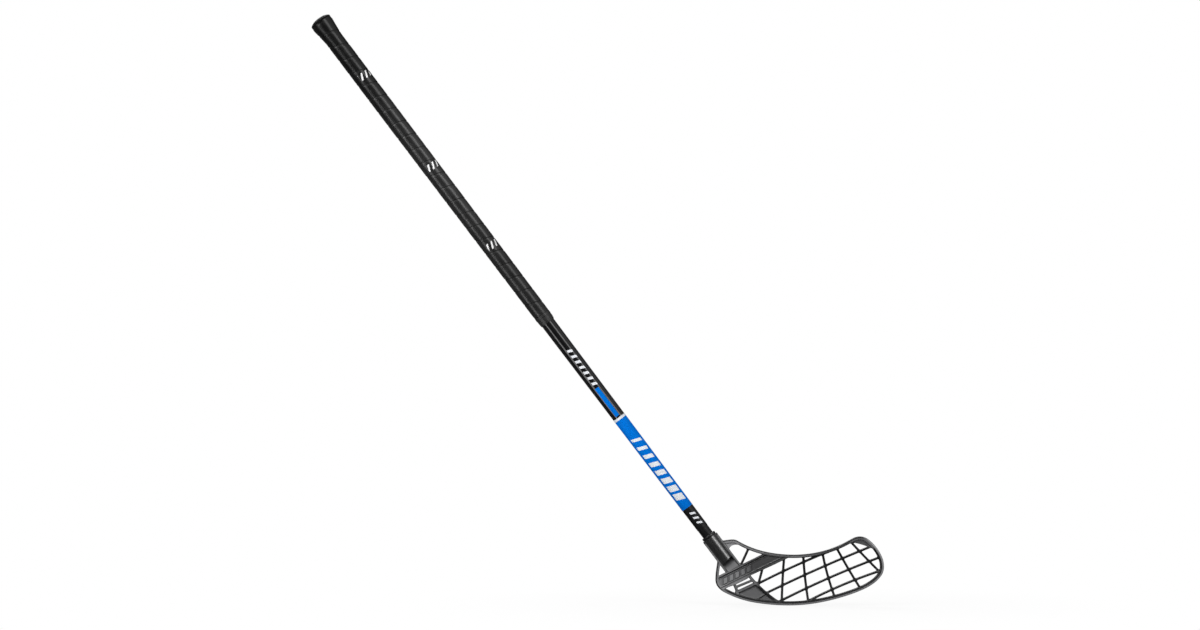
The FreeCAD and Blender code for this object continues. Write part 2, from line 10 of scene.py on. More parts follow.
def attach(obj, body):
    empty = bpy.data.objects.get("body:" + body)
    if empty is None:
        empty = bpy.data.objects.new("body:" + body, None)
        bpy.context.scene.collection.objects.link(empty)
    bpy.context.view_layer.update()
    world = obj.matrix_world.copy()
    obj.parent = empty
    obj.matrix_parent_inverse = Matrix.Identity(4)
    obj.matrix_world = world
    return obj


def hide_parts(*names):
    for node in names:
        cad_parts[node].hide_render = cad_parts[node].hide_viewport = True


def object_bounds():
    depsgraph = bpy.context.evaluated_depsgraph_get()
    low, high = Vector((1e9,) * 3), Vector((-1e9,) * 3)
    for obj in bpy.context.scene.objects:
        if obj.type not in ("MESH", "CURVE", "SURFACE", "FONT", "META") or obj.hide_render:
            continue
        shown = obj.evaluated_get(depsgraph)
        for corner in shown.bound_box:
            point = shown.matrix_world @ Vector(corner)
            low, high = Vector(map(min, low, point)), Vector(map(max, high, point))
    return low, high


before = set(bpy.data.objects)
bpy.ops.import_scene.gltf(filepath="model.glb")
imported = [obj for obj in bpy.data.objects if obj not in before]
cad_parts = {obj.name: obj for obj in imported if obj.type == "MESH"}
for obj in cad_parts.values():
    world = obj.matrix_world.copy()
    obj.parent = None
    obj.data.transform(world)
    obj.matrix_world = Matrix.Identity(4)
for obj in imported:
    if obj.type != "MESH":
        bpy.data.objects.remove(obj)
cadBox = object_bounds()
scene = bpy.context.scene

mm = 0.001  # sizes below are in millimetres, as on the drawing

# heights run along the shaft from its lower end, inside the blade's socket
stick = {
    "lean": math.radians(37.03), "shaftLength": 996.0, "handDrop": 276.7, "wall": 1.6,
    "spigotRadius": 8.5, "lowRadius": 8.8, "midRadius": 10.6, "topRadius": 11.9,
    "stepHeight": 57.6, "stepLength": 0.4, "gripLow": 436.7, "parallelLow": 834.0,
    "endRound": 0.5, "boreRound": 0.4, "stepRounds": (0.2, 0.25),
}
handHeight = stick["shaftLength"] - stick["handDrop"]
lowerEnd = (handHeight * math.sin(stick["lean"]) * mm, 0.0, -handHeight * math.cos(stick["lean"]) * mm)
bladePlace = Matrix.Translation(lowerEnd)
shaftPlace = bladePlace @ Matrix.Rotation(-stick["lean"], 4, "Y")


# small tools for meshes

def smoothStep(low, high, value):
    part = np.clip((value - low) / (high - low), 0.0, 1.0)
    return part * part * (3.0 - 2.0 * part)


def makePiece(name, points, faces, material, place, body, replaced, slot, sharp):
    mesh = bpy.data.meshes.new(name)
    mesh.from_pydata([tuple(point) for point in points], [], [tuple(face) for face in faces])
    shell = bmesh.new()
    shell.from_mesh(mesh)
    bmesh.ops.recalc_face_normals(shell, faces=shell.faces)
    shell.to_mesh(mesh)
    shell.free()
    mesh.shade_smooth()
    if sharp:
        mesh.set_sharp_from_angle(angle=math.radians(sharp))
    mesh.materials.append(material)
    piece = bpy.data.objects.new(name, mesh)
    scene.collection.objects.link(piece)
    piece.matrix_world = place
    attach(piece, body)
    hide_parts(replaced)
    print("piece:", name, len(mesh.vertices), "points", len(mesh.polygons), "faces")
    return piece


def easedProfile(corners, steps, limit=0.48):
    # corners are (radius, height, round); a rounded corner becomes a short curve
    line = []
    for index, (radius, height, ease) in enumerate(corners):
        here = np.array((radius, height))
        if not ease:
            line.append((radius, height))
            continue
        before = np.array(corners[index - 1][:2]) - here
        after = np.array(corners[(index + 1) % len(corners)][:2]) - here
        start = here + before * min(ease / np.linalg.norm(before), limit)
        end = here + after * min(ease / np.linalg.norm(after), limit)
        for part in np.linspace(0.0, 1.0, steps):
            spot = start * (1 - part) ** 2 + here * 2 * part * (1 - part) + end * part ** 2
            line.append(tuple(spot))
    return line


def lathe(profile, sides=128, wobble=None, sweep=None, onAxis=1e-6):
    # the closed profile of (radius, height) turned about the shaft's axis, right round or over a sweep
    angles = np.linspace(0.0, 2 * math.pi, sides, endpoint=False)
    if sweep:
        angles = np.linspace(sweep[0], sweep[1], sides)
    points, rings = [], []
    for radius, height in profile:
        if radius < onAxis:
            rings.append([len(points)] * sides)
            points.append((0.0, 0.0, height * mm))
            continue
        rings.append(list(range(len(points), len(points) + sides)))
        for angle in angles:
            reach = (radius + (wobble(angle, radius, height) if wobble else 0.0)) * mm
            points.append((reach * math.cos(angle), reach * math.sin(angle), height * mm))
    faces = []
    for ring, following in zip(rings, rings[1:] + rings[:1]):
        for index in range(sides - 1 if sweep else sides):
            beside = (index + 1) % sides
            corner = list(dict.fromkeys((ring[index], ring[beside], following[beside], following[index])))
            if len(corner) > 2:
                faces.append(corner)
    if sweep:
        faces.append([ring[0] for ring in rings])
        faces.append([ring[-1] for ring in rings])
    return points, faces


def lathePiece(name, corners, material, replaced, slot, steps=5, sharp=35.0, **turning):
    points, faces = lathe(easedProfile(corners, steps), **turning)
    makePiece(name, points, faces, material, shaftPlace, "stick", replaced, slot, sharp)


def shaftRadius(height):
    return np.interp(
        height,
        (stick["stepHeight"], stick["gripLow"], stick["parallelLow"], stick["shaftLength"]),
        (stick["lowRadius"], stick["midRadius"], stick["topRadius"], stick["topRadius"]),
    )


# small tools for shader nodes

unit = (0.0, 1.0)
white = (1, 1, 1, 1)


def grey(tone):
    return (tone, tone, tone, 1)


def wireUp(tree, node, wires):
    # another node's socket is linked, and anything else becomes the input's own value
    for key, value in wires.items():
        if isinstance(value, bpy.types.NodeSocket):
            tree.links.new(value, node.inputs[key])
        else:
            node.inputs[key].default_value = value
    return node


def addNode(tree, kind, wires=None, **settings):
    node = tree.nodes.new("ShaderNode" + kind)
    for key, value in settings.items():
        setattr(node, key, value)
    return wireUp(tree, node, wires or {})


def sums(tree, operation, *values):
    return addNode(tree, "Math", dict(enumerate(values)), operation=operation).outputs[0]


def raised(tree, value, share, amount):
    # value, and more of it where the share is high
    return sums(tree, "ADD", value, sums(tree, "MULTIPLY", share, amount))


def noiseValue(tree, where, scale, **settings):
    return addNode(tree, "TexNoise", {"Vector": where, "Scale": scale, **settings}).outputs[0]


def blendColour(tree, share, first, second):
    # for colours a mix node takes its share at 0 and the pair at 6 and 7, and gives the blend at 2
    return addNode(tree, "Mix", {0: share, 6: first, 7: second}, data_type="RGBA").outputs[2]


def ranged(tree, value, given, wanted=unit, smooth=False):
    # carries one range of values over to another
    wires = {
        "Value": value, "From Min": given[0], "From Max": given[1], "To Min": wanted[0], "To Max": wanted[1],
    }
    kind = "SMOOTHSTEP" if smooth else "LINEAR"
    return addNode(tree, "MapRange", wires, interpolation_type=kind).outputs["Result"]


def newGroup(name, inputs, outputs):
    group = bpy.data.node_groups.new(name, "ShaderNodeTree")
    for label, value in inputs.items():
        socket = group.interface.new_socket(label, in_out="INPUT", socket_type="NodeSocketFloat")
        socket.default_value = value
    for label in outputs:
        group.interface.new_socket(label, in_out="OUTPUT", socket_type="NodeSocketFloat")
    return group, group.nodes.new("NodeGroupInput").outputs, group.nodes.new("NodeGroupOutput")


def placeGroup(tree, group, **values):
    return addNode(tree, "Group", values, node_tree=group).outputs


def newMaterial(name, plain):
    material = bpy.data.materials.new(name)
    material.use_nodes = True
    tree = material.node_tree
    return material, tree, wireUp(tree, tree.nodes["Principled BSDF"], plain)


def dress(tree, shader, colour, rough, height, depth):
    bump = addNode(tree, "Bump", {"Height": height, "Distance": depth * mm, "Strength": 1.0})
    wireUp(tree, shader, {"Base Color": colour, "Roughness": rough, "Normal": bump.outputs["Normal"]})


# effects that several materials share

def mouldGrainGroup():
    # fine spark-eroded grain of a moulding tool, with the slow unevenness of cooled plastic
    inputs = {"grainScale": 2600.0, "flowScale": 60.0}
    group, given, result = newGroup("mouldGrain", inputs, ("height", "flow"))
    where = addNode(group, "TexCoord").outputs["Object"]
    grain = noiseValue(group, where, given["grainScale"], Detail=2.0, Roughness=0.6)
    flow = noiseValue(group, where, given["flowScale"], Detail=3.0)
    wireUp(group, result, {"height": grain, "flow": flow})
    return group


touchLook = {"smearFrom": (0.45, 0.75), "scratchFrom": (0.72, 0.8), "scratchStretch": (1.0, 1.0, 0.03)}


def handlingGroup():
    # faint smears from hands and floor, and thin scratches along the shaft
    look = touchLook
    inputs = {"smearScale": 26.0, "scratchScale": 420.0}
    group, given, result = newGroup("handling", inputs, ("smear", "scratch"))
    where = addNode(group, "TexCoord").outputs["Object"]
    cloud = noiseValue(group, where, given["smearScale"], Detail=5.0, Distortion=1.2)
    smear = ranged(group, cloud, look["smearFrom"], smooth=True)
    drawn = addNode(group, "Mapping", {"Vector": where, "Scale": look["scratchStretch"]}).outputs[0]
    hair = noiseValue(group, drawn, given["scratchScale"], Detail=1.0)
    wireUp(group, result, {"smear": smear, "scratch": ranged(group, hair, look["scratchFrom"])})
    return group


def roundShaftGroup():
    # where a point lies on the shaft: height in millimetres, and degrees round from the front
    group, _, result = newGroup("roundShaft", {}, ("height", "round"))
    where = addNode(group, "TexCoord").outputs["Object"]
    split = addNode(group, "SeparateXYZ", {0: where}).outputs
    height = sums(group, "DIVIDE", split["Z"], mm)
    turn = sums(group, "ARCTAN2", split["X"], sums(group, "MULTIPLY", split["Y"], -1.0))
    wireUp(group, result, {"height": height, "round": sums(group, "DEGREES", turn)})
    return group


def slantedBarsGroup():
    # mask of a row of slanted bars that thins out along the shaft
    inputs = {
        "low": 0.0, "high": 1.0, "count": 1.0, "slant": 0.0,
        "fullAt": 1.0, "thinAt": 1.0, "left": -180.0, "right": 180.0,
    }
    group, given, result = newGroup("slantedBars", inputs, ("mask",))
    spot = placeGroup(group, roundShaft)
    leaned = raised(group, spot["height"], spot["round"], given["slant"])
    along = ranged(group, leaned, (given["low"], given["high"]))
    phase = sums(group, "FRACT", sums(group, "MULTIPLY", along, given["count"]))
    width = ranged(group, along, unit, (given["fullAt"], given["thinAt"]))
    mask = sums(group, "LESS_THAN", phase, width)
    for value, low, high in ((leaned, "low", "high"), (spot["round"], "left", "right")):
        mask = sums(group, "MULTIPLY", mask, sums(group, "GREATER_THAN", value, given[low]))
        mask = sums(group, "MULTIPLY", mask, sums(group, "LESS_THAN", value, given[high]))
    wireUp(group, result, {"mask": mask})
    return group


mouldGrain = mouldGrainGroup()
handling = handlingGroup()
roundShaft = roundShaftGroup()
slantedBars = slantedBarsGroup()


# materials

lacquerLook = {
    "black": (0.0060, 0.0060, 0.0065, 1), "smeared": (0.0085, 0.0085, 0.0090, 1),
    "print": (0.78, 0.80, 0.83, 1),
    "rough": (0.16, 0.24), "scratchRough": 0.1, "skinDepth": 0.002,
    "mattAt": (94.0, 95.0), "mattRough": 0.3, "coat": (0.25, 0.0),
}
ticks = {"slant": 0.07, "fullAt": 0.42, "thinAt": 0.42, "left": -16.0}
shaftTicks = {**ticks, "low": 322.0, "high": 392.0, "count": 7.0, "right": 26.0}
lowerTicks = {**ticks, "low": 66.0, "high": 91.0, "count": 3.0, "right": 34.0}


def lacquerMaterial():
    look = lacquerLook
    material, tree, shader = newMaterial("shaftLacquer", {"Specular IOR Level": 0.3, "Coat Roughness": 0.05})
    touch = placeGroup(tree, handling, smearScale=18.0, scratchScale=700.0)
    colour = blendColour(tree, touch["smear"], look["black"], look["smeared"])
    upper, lower = (placeGroup(tree, slantedBars, **bars)["mask"] for bars in (shaftTicks, lowerTicks))
    colour = blendColour(tree, sums(tree, "MAXIMUM", upper, lower), colour, look["print"])
    rough = ranged(tree, touch["smear"], unit, look["rough"])
    rough = raised(tree, rough, touch["scratch"], look["scratchRough"])
    # the lacquer is matt below the blue sleeve
    matt = ranged(tree, placeGroup(tree, roundShaft)["height"], look["mattAt"], (1.0, 0.0))
    rough = raised(tree, rough, matt, look["mattRough"])
    wireUp(tree, shader, {"Coat Weight": ranged(tree, matt, unit, look["coat"])})
    skin = placeGroup(tree, mouldGrain, grainScale=900.0, flowScale=30.0)
    dress(tree, shader, colour, rough, skin["height"], look["skinDepth"])
    return material


printLook = {"rough": (0.34, 0.4), "dotDepth": 0.0003}
blueInk = {
    "ink": (0.0008, 0.160, 0.64, 1), "smeared": (0.0010, 0.155, 0.63, 1), "mark": (0.80, 0.82, 0.85, 1),
}
whiteInk = {"ink": (0.74, 0.77, 0.82, 1), "smeared": (0.70, 0.73, 0.78, 1)}
sleeveBars = {
    "low": 110.0, "high": 233.0, "count": 8.0, "slant": 0.06,
    "fullAt": 0.76, "thinAt": 0.26, "left": -44.0, "right": 46.0,
}


def printMaterial(name, look, bars=None):
    material, tree, shader = newMaterial(name, {"Specular IOR Level": 0.012})
    touch = placeGroup(tree, handling, smearScale=22.0, scratchScale=700.0)
    colour = blendColour(tree, touch["smear"], look["ink"], look["smeared"])
    if bars:
        colour = blendColour(tree, placeGroup(tree, slantedBars, **bars)["mask"], colour, look["mark"])
    rough = ranged(tree, touch["smear"], unit, printLook["rough"])
    dots = placeGroup(tree, mouldGrain, grainScale=3000.0, flowScale=40.0)
    dress(tree, shader, colour, rough, dots["height"], printLook["dotDepth"])
    return material


# rows are places across the strip: from its lower edge, in shares of its width, from its upper edge
tape = {
    "top": 993.0, "low": 451.75, "pitch": 23.8, "thickness": 1.6, "bond": 0.15,
    "seam": 0.25, "tail": 1.0, "phase": math.radians(-29.0), "stepsPerTurn": 72,
    "flareLow": 960.0, "flareRadius": 15.6, "flareCurve": 1.2, "turnIn": 0.9, "turnInLength": 6.0,
    "edgeRound": 0.55, "edgeDrop": 0.3, "tuckWidth": 3.6, "tuckDrop": 0.48,
    "lowRows": (0.0, 0.08, 0.25, 0.55, 1.6), "lowLimit": 0.42,
    "middleRows": (0.25, 0.42, 0.6),
    "highRows": (5.0, 2.2, 1.1, 0.4, 0.1, 0.0), "highLimit": 0.38,
}

gripLook = {
    "dark": grey(0.002), "paler": grey(0.0155), "print": grey(0.80), "seam": grey(0.002),
    "palerHeights": (720.0, 900.0), "palerShare": (1.0, 0.15),
    "flowFrom": (0.3, 0.7), "flowPaler": (0.6, 1.0),
    "rough": (0.28, 0.35), "grainDepth": 0.006,
    # the seam colour and its share are painted shade where one turn meets the next
    "seamFrom": (0.01, 0.05), "seamShadeShare": (0.9, 0.0), "seamRough": 0.3,
    "handMiddle": 740.0, "handAway": (40.0, 190.0), "handShine": (0.38, 0.0),
    "marks": (891.0, 724.0, 578.0), "markHalf": 5.2, "markSides": {"left": -22.0, "right": 66.0},
    "markLean": -1.9, "markPitch": 34.0, "markShare": 0.36,
    "rightSide": 90.0,  # degrees from the front to where the winding's own angles start
    "spareTurns": 8.0,  # keeps the count of turns above zero
}


def gripMaterial():
    look = gripLook
    material, tree, shader = newMaterial("gripTape", {"Specular IOR Level": 0.34, "Coat Roughness": 0.34})
    grain = placeGroup(tree, mouldGrain, grainScale=2600.0, flowScale=70.0)
    spot = placeGroup(tree, roundShaft)
    height, turn = spot["height"], spot["round"]
    # paler from the knob down to the middle of the grip, unevenly
    paling = ranged(tree, height, look["palerHeights"], look["palerShare"], smooth=True)
    uneven = ranged(tree, grain["flow"], look["flowFrom"], look["flowPaler"])
    colour = blendColour(tree, sums(tree, "MULTIPLY", paling, uneven), look["dark"], look["paler"])
    slant = sums(tree, "DIVIDE", raised(tree, turn, height, look["markLean"]), look["markPitch"])
    slant = sums(tree, "LESS_THAN", sums(tree, "FRACT", slant), look["markShare"])
    for middle in look["marks"]:
        ends = {"low": middle - look["markHalf"], "high": middle + look["markHalf"]}
        field = placeGroup(tree, slantedBars, **ends, **look["markSides"])["mask"]
        colour = blendColour(tree, sums(tree, "MULTIPLY", field, slant), colour, look["print"])

    # the strip winds down from the knob, and painted shade darkens the line where one turn meets the next
    wound = sums(tree, "DIVIDE", sums(tree, "SUBTRACT", tape["top"], height), tape["pitch"])
    start = look["rightSide"] + math.degrees(tape["phase"])
    turned = sums(tree, "DIVIDE", sums(tree, "SUBTRACT", turn, start), 360.0)
    phase = sums(tree, "ADD", sums(tree, "SUBTRACT", wound, turned), look["spareTurns"])
    phase = sums(tree, "FRACT", phase)
    nearest = sums(tree, "MINIMUM", phase, sums(tree, "SUBTRACT", 1.0, phase))
    seam = ranged(tree, nearest, look["seamFrom"], look["seamShadeShare"], smooth=True)
    colour = blendColour(tree, seam, colour, look["seam"])
    rough = ranged(tree, grain["flow"], look["flowFrom"], look["rough"])
    rough = raised(tree, rough, seam, look["seamRough"])
    # the lower hand rubs it smooth
    away = sums(tree, "ABSOLUTE", sums(tree, "SUBTRACT", height, look["handMiddle"]))
    shine = ranged(tree, away, look["handAway"], look["handShine"], smooth=True)
    wireUp(tree, shader, {"Coat Weight": shine})
    dress(tree, shader, colour, rough, grain["height"], look["grainDepth"])
    return material


capLook = {
    "dark": grey(0.004), "pale": grey(0.007), "rough": (0.56, 0.66),
    "grain": 2200.0, "grainDepth": 0.006, "shine": 0.02,
}
bandLook = {
    "dark": grey(0.008), "pale": grey(0.013), "rough": (0.42, 0.52),
    "grain": 1500.0, "grainDepth": 0.008, "shine": 0.5,
}


def mouldedMaterial(name, look):
    material, tree, shader = newMaterial(name, {"Specular IOR Level": look["shine"]})
    skin = placeGroup(tree, mouldGrain, grainScale=look["grain"], flowScale=45.0)
    touch = placeGroup(tree, handling, smearScale=34.0, scratchScale=500.0)
    colour = blendColour(tree, skin["flow"], look["dark"], look["pale"])
    rough = ranged(tree, touch["smear"], unit, look["rough"])
    dress(tree, shader, colour, rough, skin["height"], look["grainDepth"])
    return material


# pale is the colour of the painted light on the blade's front faces
bladeLook = {
    "dark": (0.012, 0.012, 0.0125, 1), "flowing": (0.018, 0.018, 0.0185, 1), "pale": (0.27, 0.27, 0.275, 1),
    "rough": (0.28, 0.36), "paleRough": 0.12, "grainDepth": 0.003,
}


def bladeMaterial():
    look = bladeLook
    plain = {"Specular IOR Level": 0.5, "Coat Roughness": 0.32, "Coat IOR": 2.05}
    material, tree, shader = newMaterial("bladePlastic", plain)
    skin = placeGroup(tree, mouldGrain, grainScale=2600.0, flowScale=45.0)
    touch = placeGroup(tree, handling, smearScale=34.0, scratchScale=500.0)
    # pale is painted light: the lit front faces are painted paler, with painted shade in grooves, recesses
    # and under bars; the socket is polished
    pale, polished = (
        addNode(tree, "Attribute", attribute_name=name).outputs["Fac"] for name in ("pale", "polished")
    )
    colour = blendColour(tree, skin["flow"], look["dark"], look["flowing"])
    colour = blendColour(tree, pale, colour, look["pale"])
    rough = ranged(tree, touch["smear"], unit, look["rough"])
    rough = raised(tree, rough, pale, look["paleRough"])
    wireUp(tree, shader, {"Coat Weight": polished})
    dress(tree, shader, colour, rough, skin["height"], look["grainDepth"])
    return material


screwLook = {
    "bright": (0.55, 0.55, 0.56, 1), "dull": (0.32, 0.32, 0.34, 1),
    "flowFrom": (0.2, 0.8), "rough": (0.24, 0.42), "plateDepth": 0.01,
}


def screwMaterial():
    look = screwLook
    material, tree, shader = newMaterial("screwZinc", {"Metallic": 1.0})
    plate = placeGroup(tree, mouldGrain, grainScale=5200.0, flowScale=420.0)
    colour = blendColour(tree, plate["flow"], look["dull"], look["bright"])
    rough = ranged(tree, plate["flow"], look["flowFrom"], look["rough"])
    dress(tree, shader, colour, rough, plate["height"], look["plateDepth"])
    return material


shaftLacquer = lacquerMaterial()
bluePrint = printMaterial("bluePrint", blueInk, sleeveBars)
blueBarPrint = printMaterial("blueBarPrint", blueInk)
whitePrint = printMaterial("whitePrint", whiteInk)
gripRubber = gripMaterial()
capRubber = mouldedMaterial("capRubber", capLook)
bandVinyl = mouldedMaterial("bandVinyl", bandLook)
bladePlastic = bladeMaterial()
screwZinc = screwMaterial()
print("materials:", len(bpy.data.materials))


# shaft

def buildShaft():
    wall = stick["wall"]
    stepLow, stepTop = stick["stepRounds"]
    outside = [
        (stick["spigotRadius"], 0.0, stick["endRound"]),
        (stick["spigotRadius"], stick["stepHeight"] - stick["stepLength"], stepLow),
        (stick["lowRadius"], stick["stepHeight"], stepTop),
        (stick["midRadius"], stick["gripLow"], 0.0),
        (stick["topRadius"], stick["parallelLow"], 0.0),
        (stick["topRadius"], stick["shaftLength"], 0.0),
    ]
    inside = [(radius - wall, height, 0.0) for radius, height, _ in reversed(outside[2:])]
    inside.append((stick["spigotRadius"] - wall, 0.0, stick["boreRound"]))
    lathePiece("shaft", outside + inside, shaftLacquer, "shaft_tube", "shaft_lacquer")


# grip tape, knob and finishing band

def flaredRadius(height):
    # the tube's own taper, then the knob's trumpet under the top of the tape
    part = np.clip((height - tape["flareLow"]) / (tape["top"] - tape["flareLow"]), 0.0, 1.0)
    flare = (tape["flareRadius"] - stick["topRadius"]) * part ** tape["flareCurve"]
    turnIn = tape["turnIn"] * smoothStep(tape["top"] - tape["turnInLength"], tape["top"], height)
    return shaftRadius(height) + flare - turnIn


# tension changes from turn to turn: depth, rate and start of each wave; and the cushion dimples
tensionWaves = ((0.05, 2.3, 0.7), (0.04, 5.9, 2.1))
dimples = {"depth": 0.05, "rate": 17.3, "drift": 9.0}


def tapeUnevenness(turn, part):
    slow = sum(depth * np.sin(rate * turn + start) for depth, rate, start in tensionWaves)
    ripple = np.sin(dimples["rate"] * turn + dimples["drift"] * part)
    return slow + dimples["depth"] * ripple * np.sin(math.pi * part)


def buildTape():
    covered = tape["top"] - tape["low"]
    first = tape["tail"] / tape["pitch"]
    last = (covered - tape["seam"] - tape["tail"]) / tape["pitch"] + 1
    steps = int((last - first) * tape["stepsPerTurn"])
    turns = np.linspace(first, last, steps + 1)
    lowEdge = np.maximum(tape["low"], tape["top"] - tape["pitch"] * turns)
    highEdge = np.minimum(tape["top"], tape["top"] - tape["pitch"] * (turns - 1) - tape["seam"])
    width = highEdge - lowEdge
    angle = 2 * math.pi * turns + tape["phase"]
    fromHigh = sorted((*tape["highRows"], tape["tuckWidth"]), reverse=True)
    across = [np.minimum(reach, tape["lowLimit"] * width) for reach in tape["lowRows"]]
    across += [width * part for part in tape["middleRows"]]
    across += [width - np.minimum(reach, tape["highLimit"] * width) for reach in fromHigh]
    rows = []
    for reach in across:
        height = lowEdge + reach
        curl = np.clip(1 - reach / tape["edgeRound"], 0.0, 1.0)
        tuck = 1 - smoothStep(0.0, tape["tuckWidth"], width - reach)
        tuck = tuck * smoothStep(0.0, tape["tuckWidth"], tape["top"] - height)
        lift = tape["thickness"] - tape["edgeDrop"] * (1 - np.sqrt(1 - curl ** 2)) - tape["tuckDrop"] * tuck
        lift = lift + tapeUnevenness(turns, reach / width)
        rows.append((flaredRadius(height) + tape["bond"] + lift, height))
    for height in (highEdge, lowEdge):
        rows.append((flaredRadius(height) + tape["bond"], height))
    grid = np.array([
        np.stack((radius * np.cos(angle), radius * np.sin(angle), height), axis=-1) for radius, height in rows
    ])
    sides = len(rows)
    points = grid.transpose(1, 0, 2).reshape(-1, 3) * mm
    faces = []
    for step in range(steps):
        for side in range(sides):
            beside = (side + 1) % sides
            faces.append((
                step * sides + side, step * sides + beside,
                (step + 1) * sides + beside, (step + 1) * sides + side,
            ))
    faces.append(list(range(sides)))
    faces.append(list(range(steps * sides, (steps + 1) * sides)))
    makePiece("grip", points, faces, gripRubber, shaftPlace, "stick", "grip_tape", "grip_tape", sharp=60.0)


cap = {
    "plugLow": 972.0, "plugRadius": 10.2, "plugRound": 1.0, "boreFit": 0.1,
    "skirtLow": 966.5, "skirtSteps": 8, "underTape": 0.05,
    "rimSeat": 993.05, "seatInset": 0.1, "seatRound": 0.3,
    "rimRadius": 16.4, "rimTop": 994.6, "rimRound": 0.9,
    "top": 999.4, "domeSteps": 18, "domeCurve": 3.0,
    "grooveRadius": 11.6, "grooveWidth": 0.8, "grooveDepth": 0.35,
}


def buildCap():
    length = stick["shaftLength"]
    bore = stick["topRadius"] + cap["boreFit"]
    heights = np.linspace(cap["skirtLow"], tape["top"], cap["skirtSteps"])
    skirt = [(float(flaredRadius(height)) - cap["underTape"], height, 0.0) for height in heights]
    # domed head with one shallow ring pressed into it
    rise = cap["top"] - cap["rimTop"]
    head = []
    for part in np.linspace(1.0, 0.0, cap["domeSteps"], endpoint=False):
        radius = cap["rimRadius"] * part
        groove = cap["grooveDepth"] * max(0.0, 1 - ((radius - cap["grooveRadius"]) / cap["grooveWidth"]) ** 2)
        head.append((radius, cap["rimTop"] + rise * (1 - part ** cap["domeCurve"]) - groove, 0.0))
    corners = [
        (0.0, cap["plugLow"], 0.0),
        (cap["plugRadius"], cap["plugLow"], cap["plugRound"]),
        (cap["plugRadius"], length, 0.0),
        (bore, length, 0.0),
        (bore, cap["skirtLow"], 0.0),
        *skirt,
        (float(flaredRadius(tape["top"])) - cap["seatInset"], cap["rimSeat"], 0.0),
        (cap["rimRadius"], cap["rimSeat"], cap["seatRound"]),
        (cap["rimRadius"], cap["rimTop"], cap["rimRound"]),
        *head[1:],
        (0.0, cap["top"], 0.0),
    ]
    lathePiece("endCap", corners, capRubber, "end_cap", "cap_rubber", sharp=50.0)


band = {
    "low": 436.7, "top": 451.7, "thickness": 1.6, "edge": 0.5, "edgeRound": 0.2,
    "foot": 1.0, "footRise": 2.6, "footRound": 1.2, "shoulder": 442.7, "shoulderRound": 1.6,
    "wrapStep": 0.3, "wrapHeight": 446.6, "wrapRise": 0.3, "wrapSwell": 0.05, "wrapRounds": (0.2, 0.3),
    "topDrop": 0.2, "topInset": 0.35, "topRounds": (0.35, 0.2), "innerSkin": 0.2,
    "creaseDepth": 0.09, "creases": 7, "creaseTwist": 0.5, "ovalDepth": 0.06, "ovals": 3, "ovalStart": 1.1,
}


def buildBand():
    inner = [float(shaftRadius(height)) + tape["bond"] for height in (band["low"], band["top"])]
    full = float(shaftRadius(band["top"])) + tape["bond"] + band["thickness"]
    under, over = full - band["wrapStep"], full + band["wrapSwell"]
    corners = [
        (inner[0], band["low"], 0.0),
        (inner[0] + band["edge"], band["low"], band["edgeRound"]),
        (inner[0] + band["foot"], band["low"] + band["footRise"], band["footRound"]),
        (under, band["shoulder"], band["shoulderRound"]),
        (under, band["wrapHeight"], band["wrapRounds"][0]),
        (over, band["wrapHeight"] + band["wrapRise"], band["wrapRounds"][1]),
        (over, band["top"] - band["topDrop"], band["topRounds"][0]),
        (full - band["topInset"], band["top"], band["topRounds"][1]),
        (inner[1], band["top"], 0.0),
    ]

    def stretched(angle, radius, height):
        # the film is pulled tight by hand, so it gathers in soft creases towards its lower edge
        if radius < inner[1] + band["innerSkin"]:
            return 0.0
        gather = (band["top"] - height) / (band["top"] - band["low"])
        crease = math.sin(band["creases"] * angle + band["creaseTwist"] * height)
        oval = math.sin(band["ovals"] * angle + band["ovalStart"])
        return band["creaseDepth"] * gather * crease + band["ovalDepth"] * oval

    lathePiece("gripEndBand", corners, bandVinyl, "grip_end_band", "end_band", sharp=50.0, wobble=stretched)


# printed films: low and high edge, ink, node and slot; the bar goes only part of the way round

film = {"bond": 0.03, "thickness": 0.12, "edge": 0.08, "edgeSteps": 3}
films = {
    "blueSleeve": (94.8, 258.3, bluePrint, "decal_blue_band", "blue_print"),
    "whiteRing": (258.5, 262.3, whitePrint, "decal_white_ring", "white_print"),
    "blueBar": (264.9, 316.5, blueBarPrint, "decal_blue_bar", "blue_print"),
}
barMiddle, barHalf = math.radians(-94.0), math.radians(18.8)
filmTurns = {"blueBar": {"sweep": (barMiddle - barHalf, barMiddle + barHalf), "sides": 24}}


def buildFilms():
    for name, (low, high, ink, node, slot) in films.items():
        inner = [float(shaftRadius(height)) + film["bond"] for height in (low, high)]
        corners = [
            (inner[0], low, 0.0),
            (inner[0] + film["thickness"], low, film["edge"]),
            (inner[1] + film["thickness"], high, film["edge"]),
            (inner[1], high, 0.0),
        ]
        lathePiece(name, corners, ink, node, slot, steps=film["edgeSteps"], **filmTurns.get(name, {}))


# blade: a moulding described by distances in its flat pattern, then laid on its hook and scoop

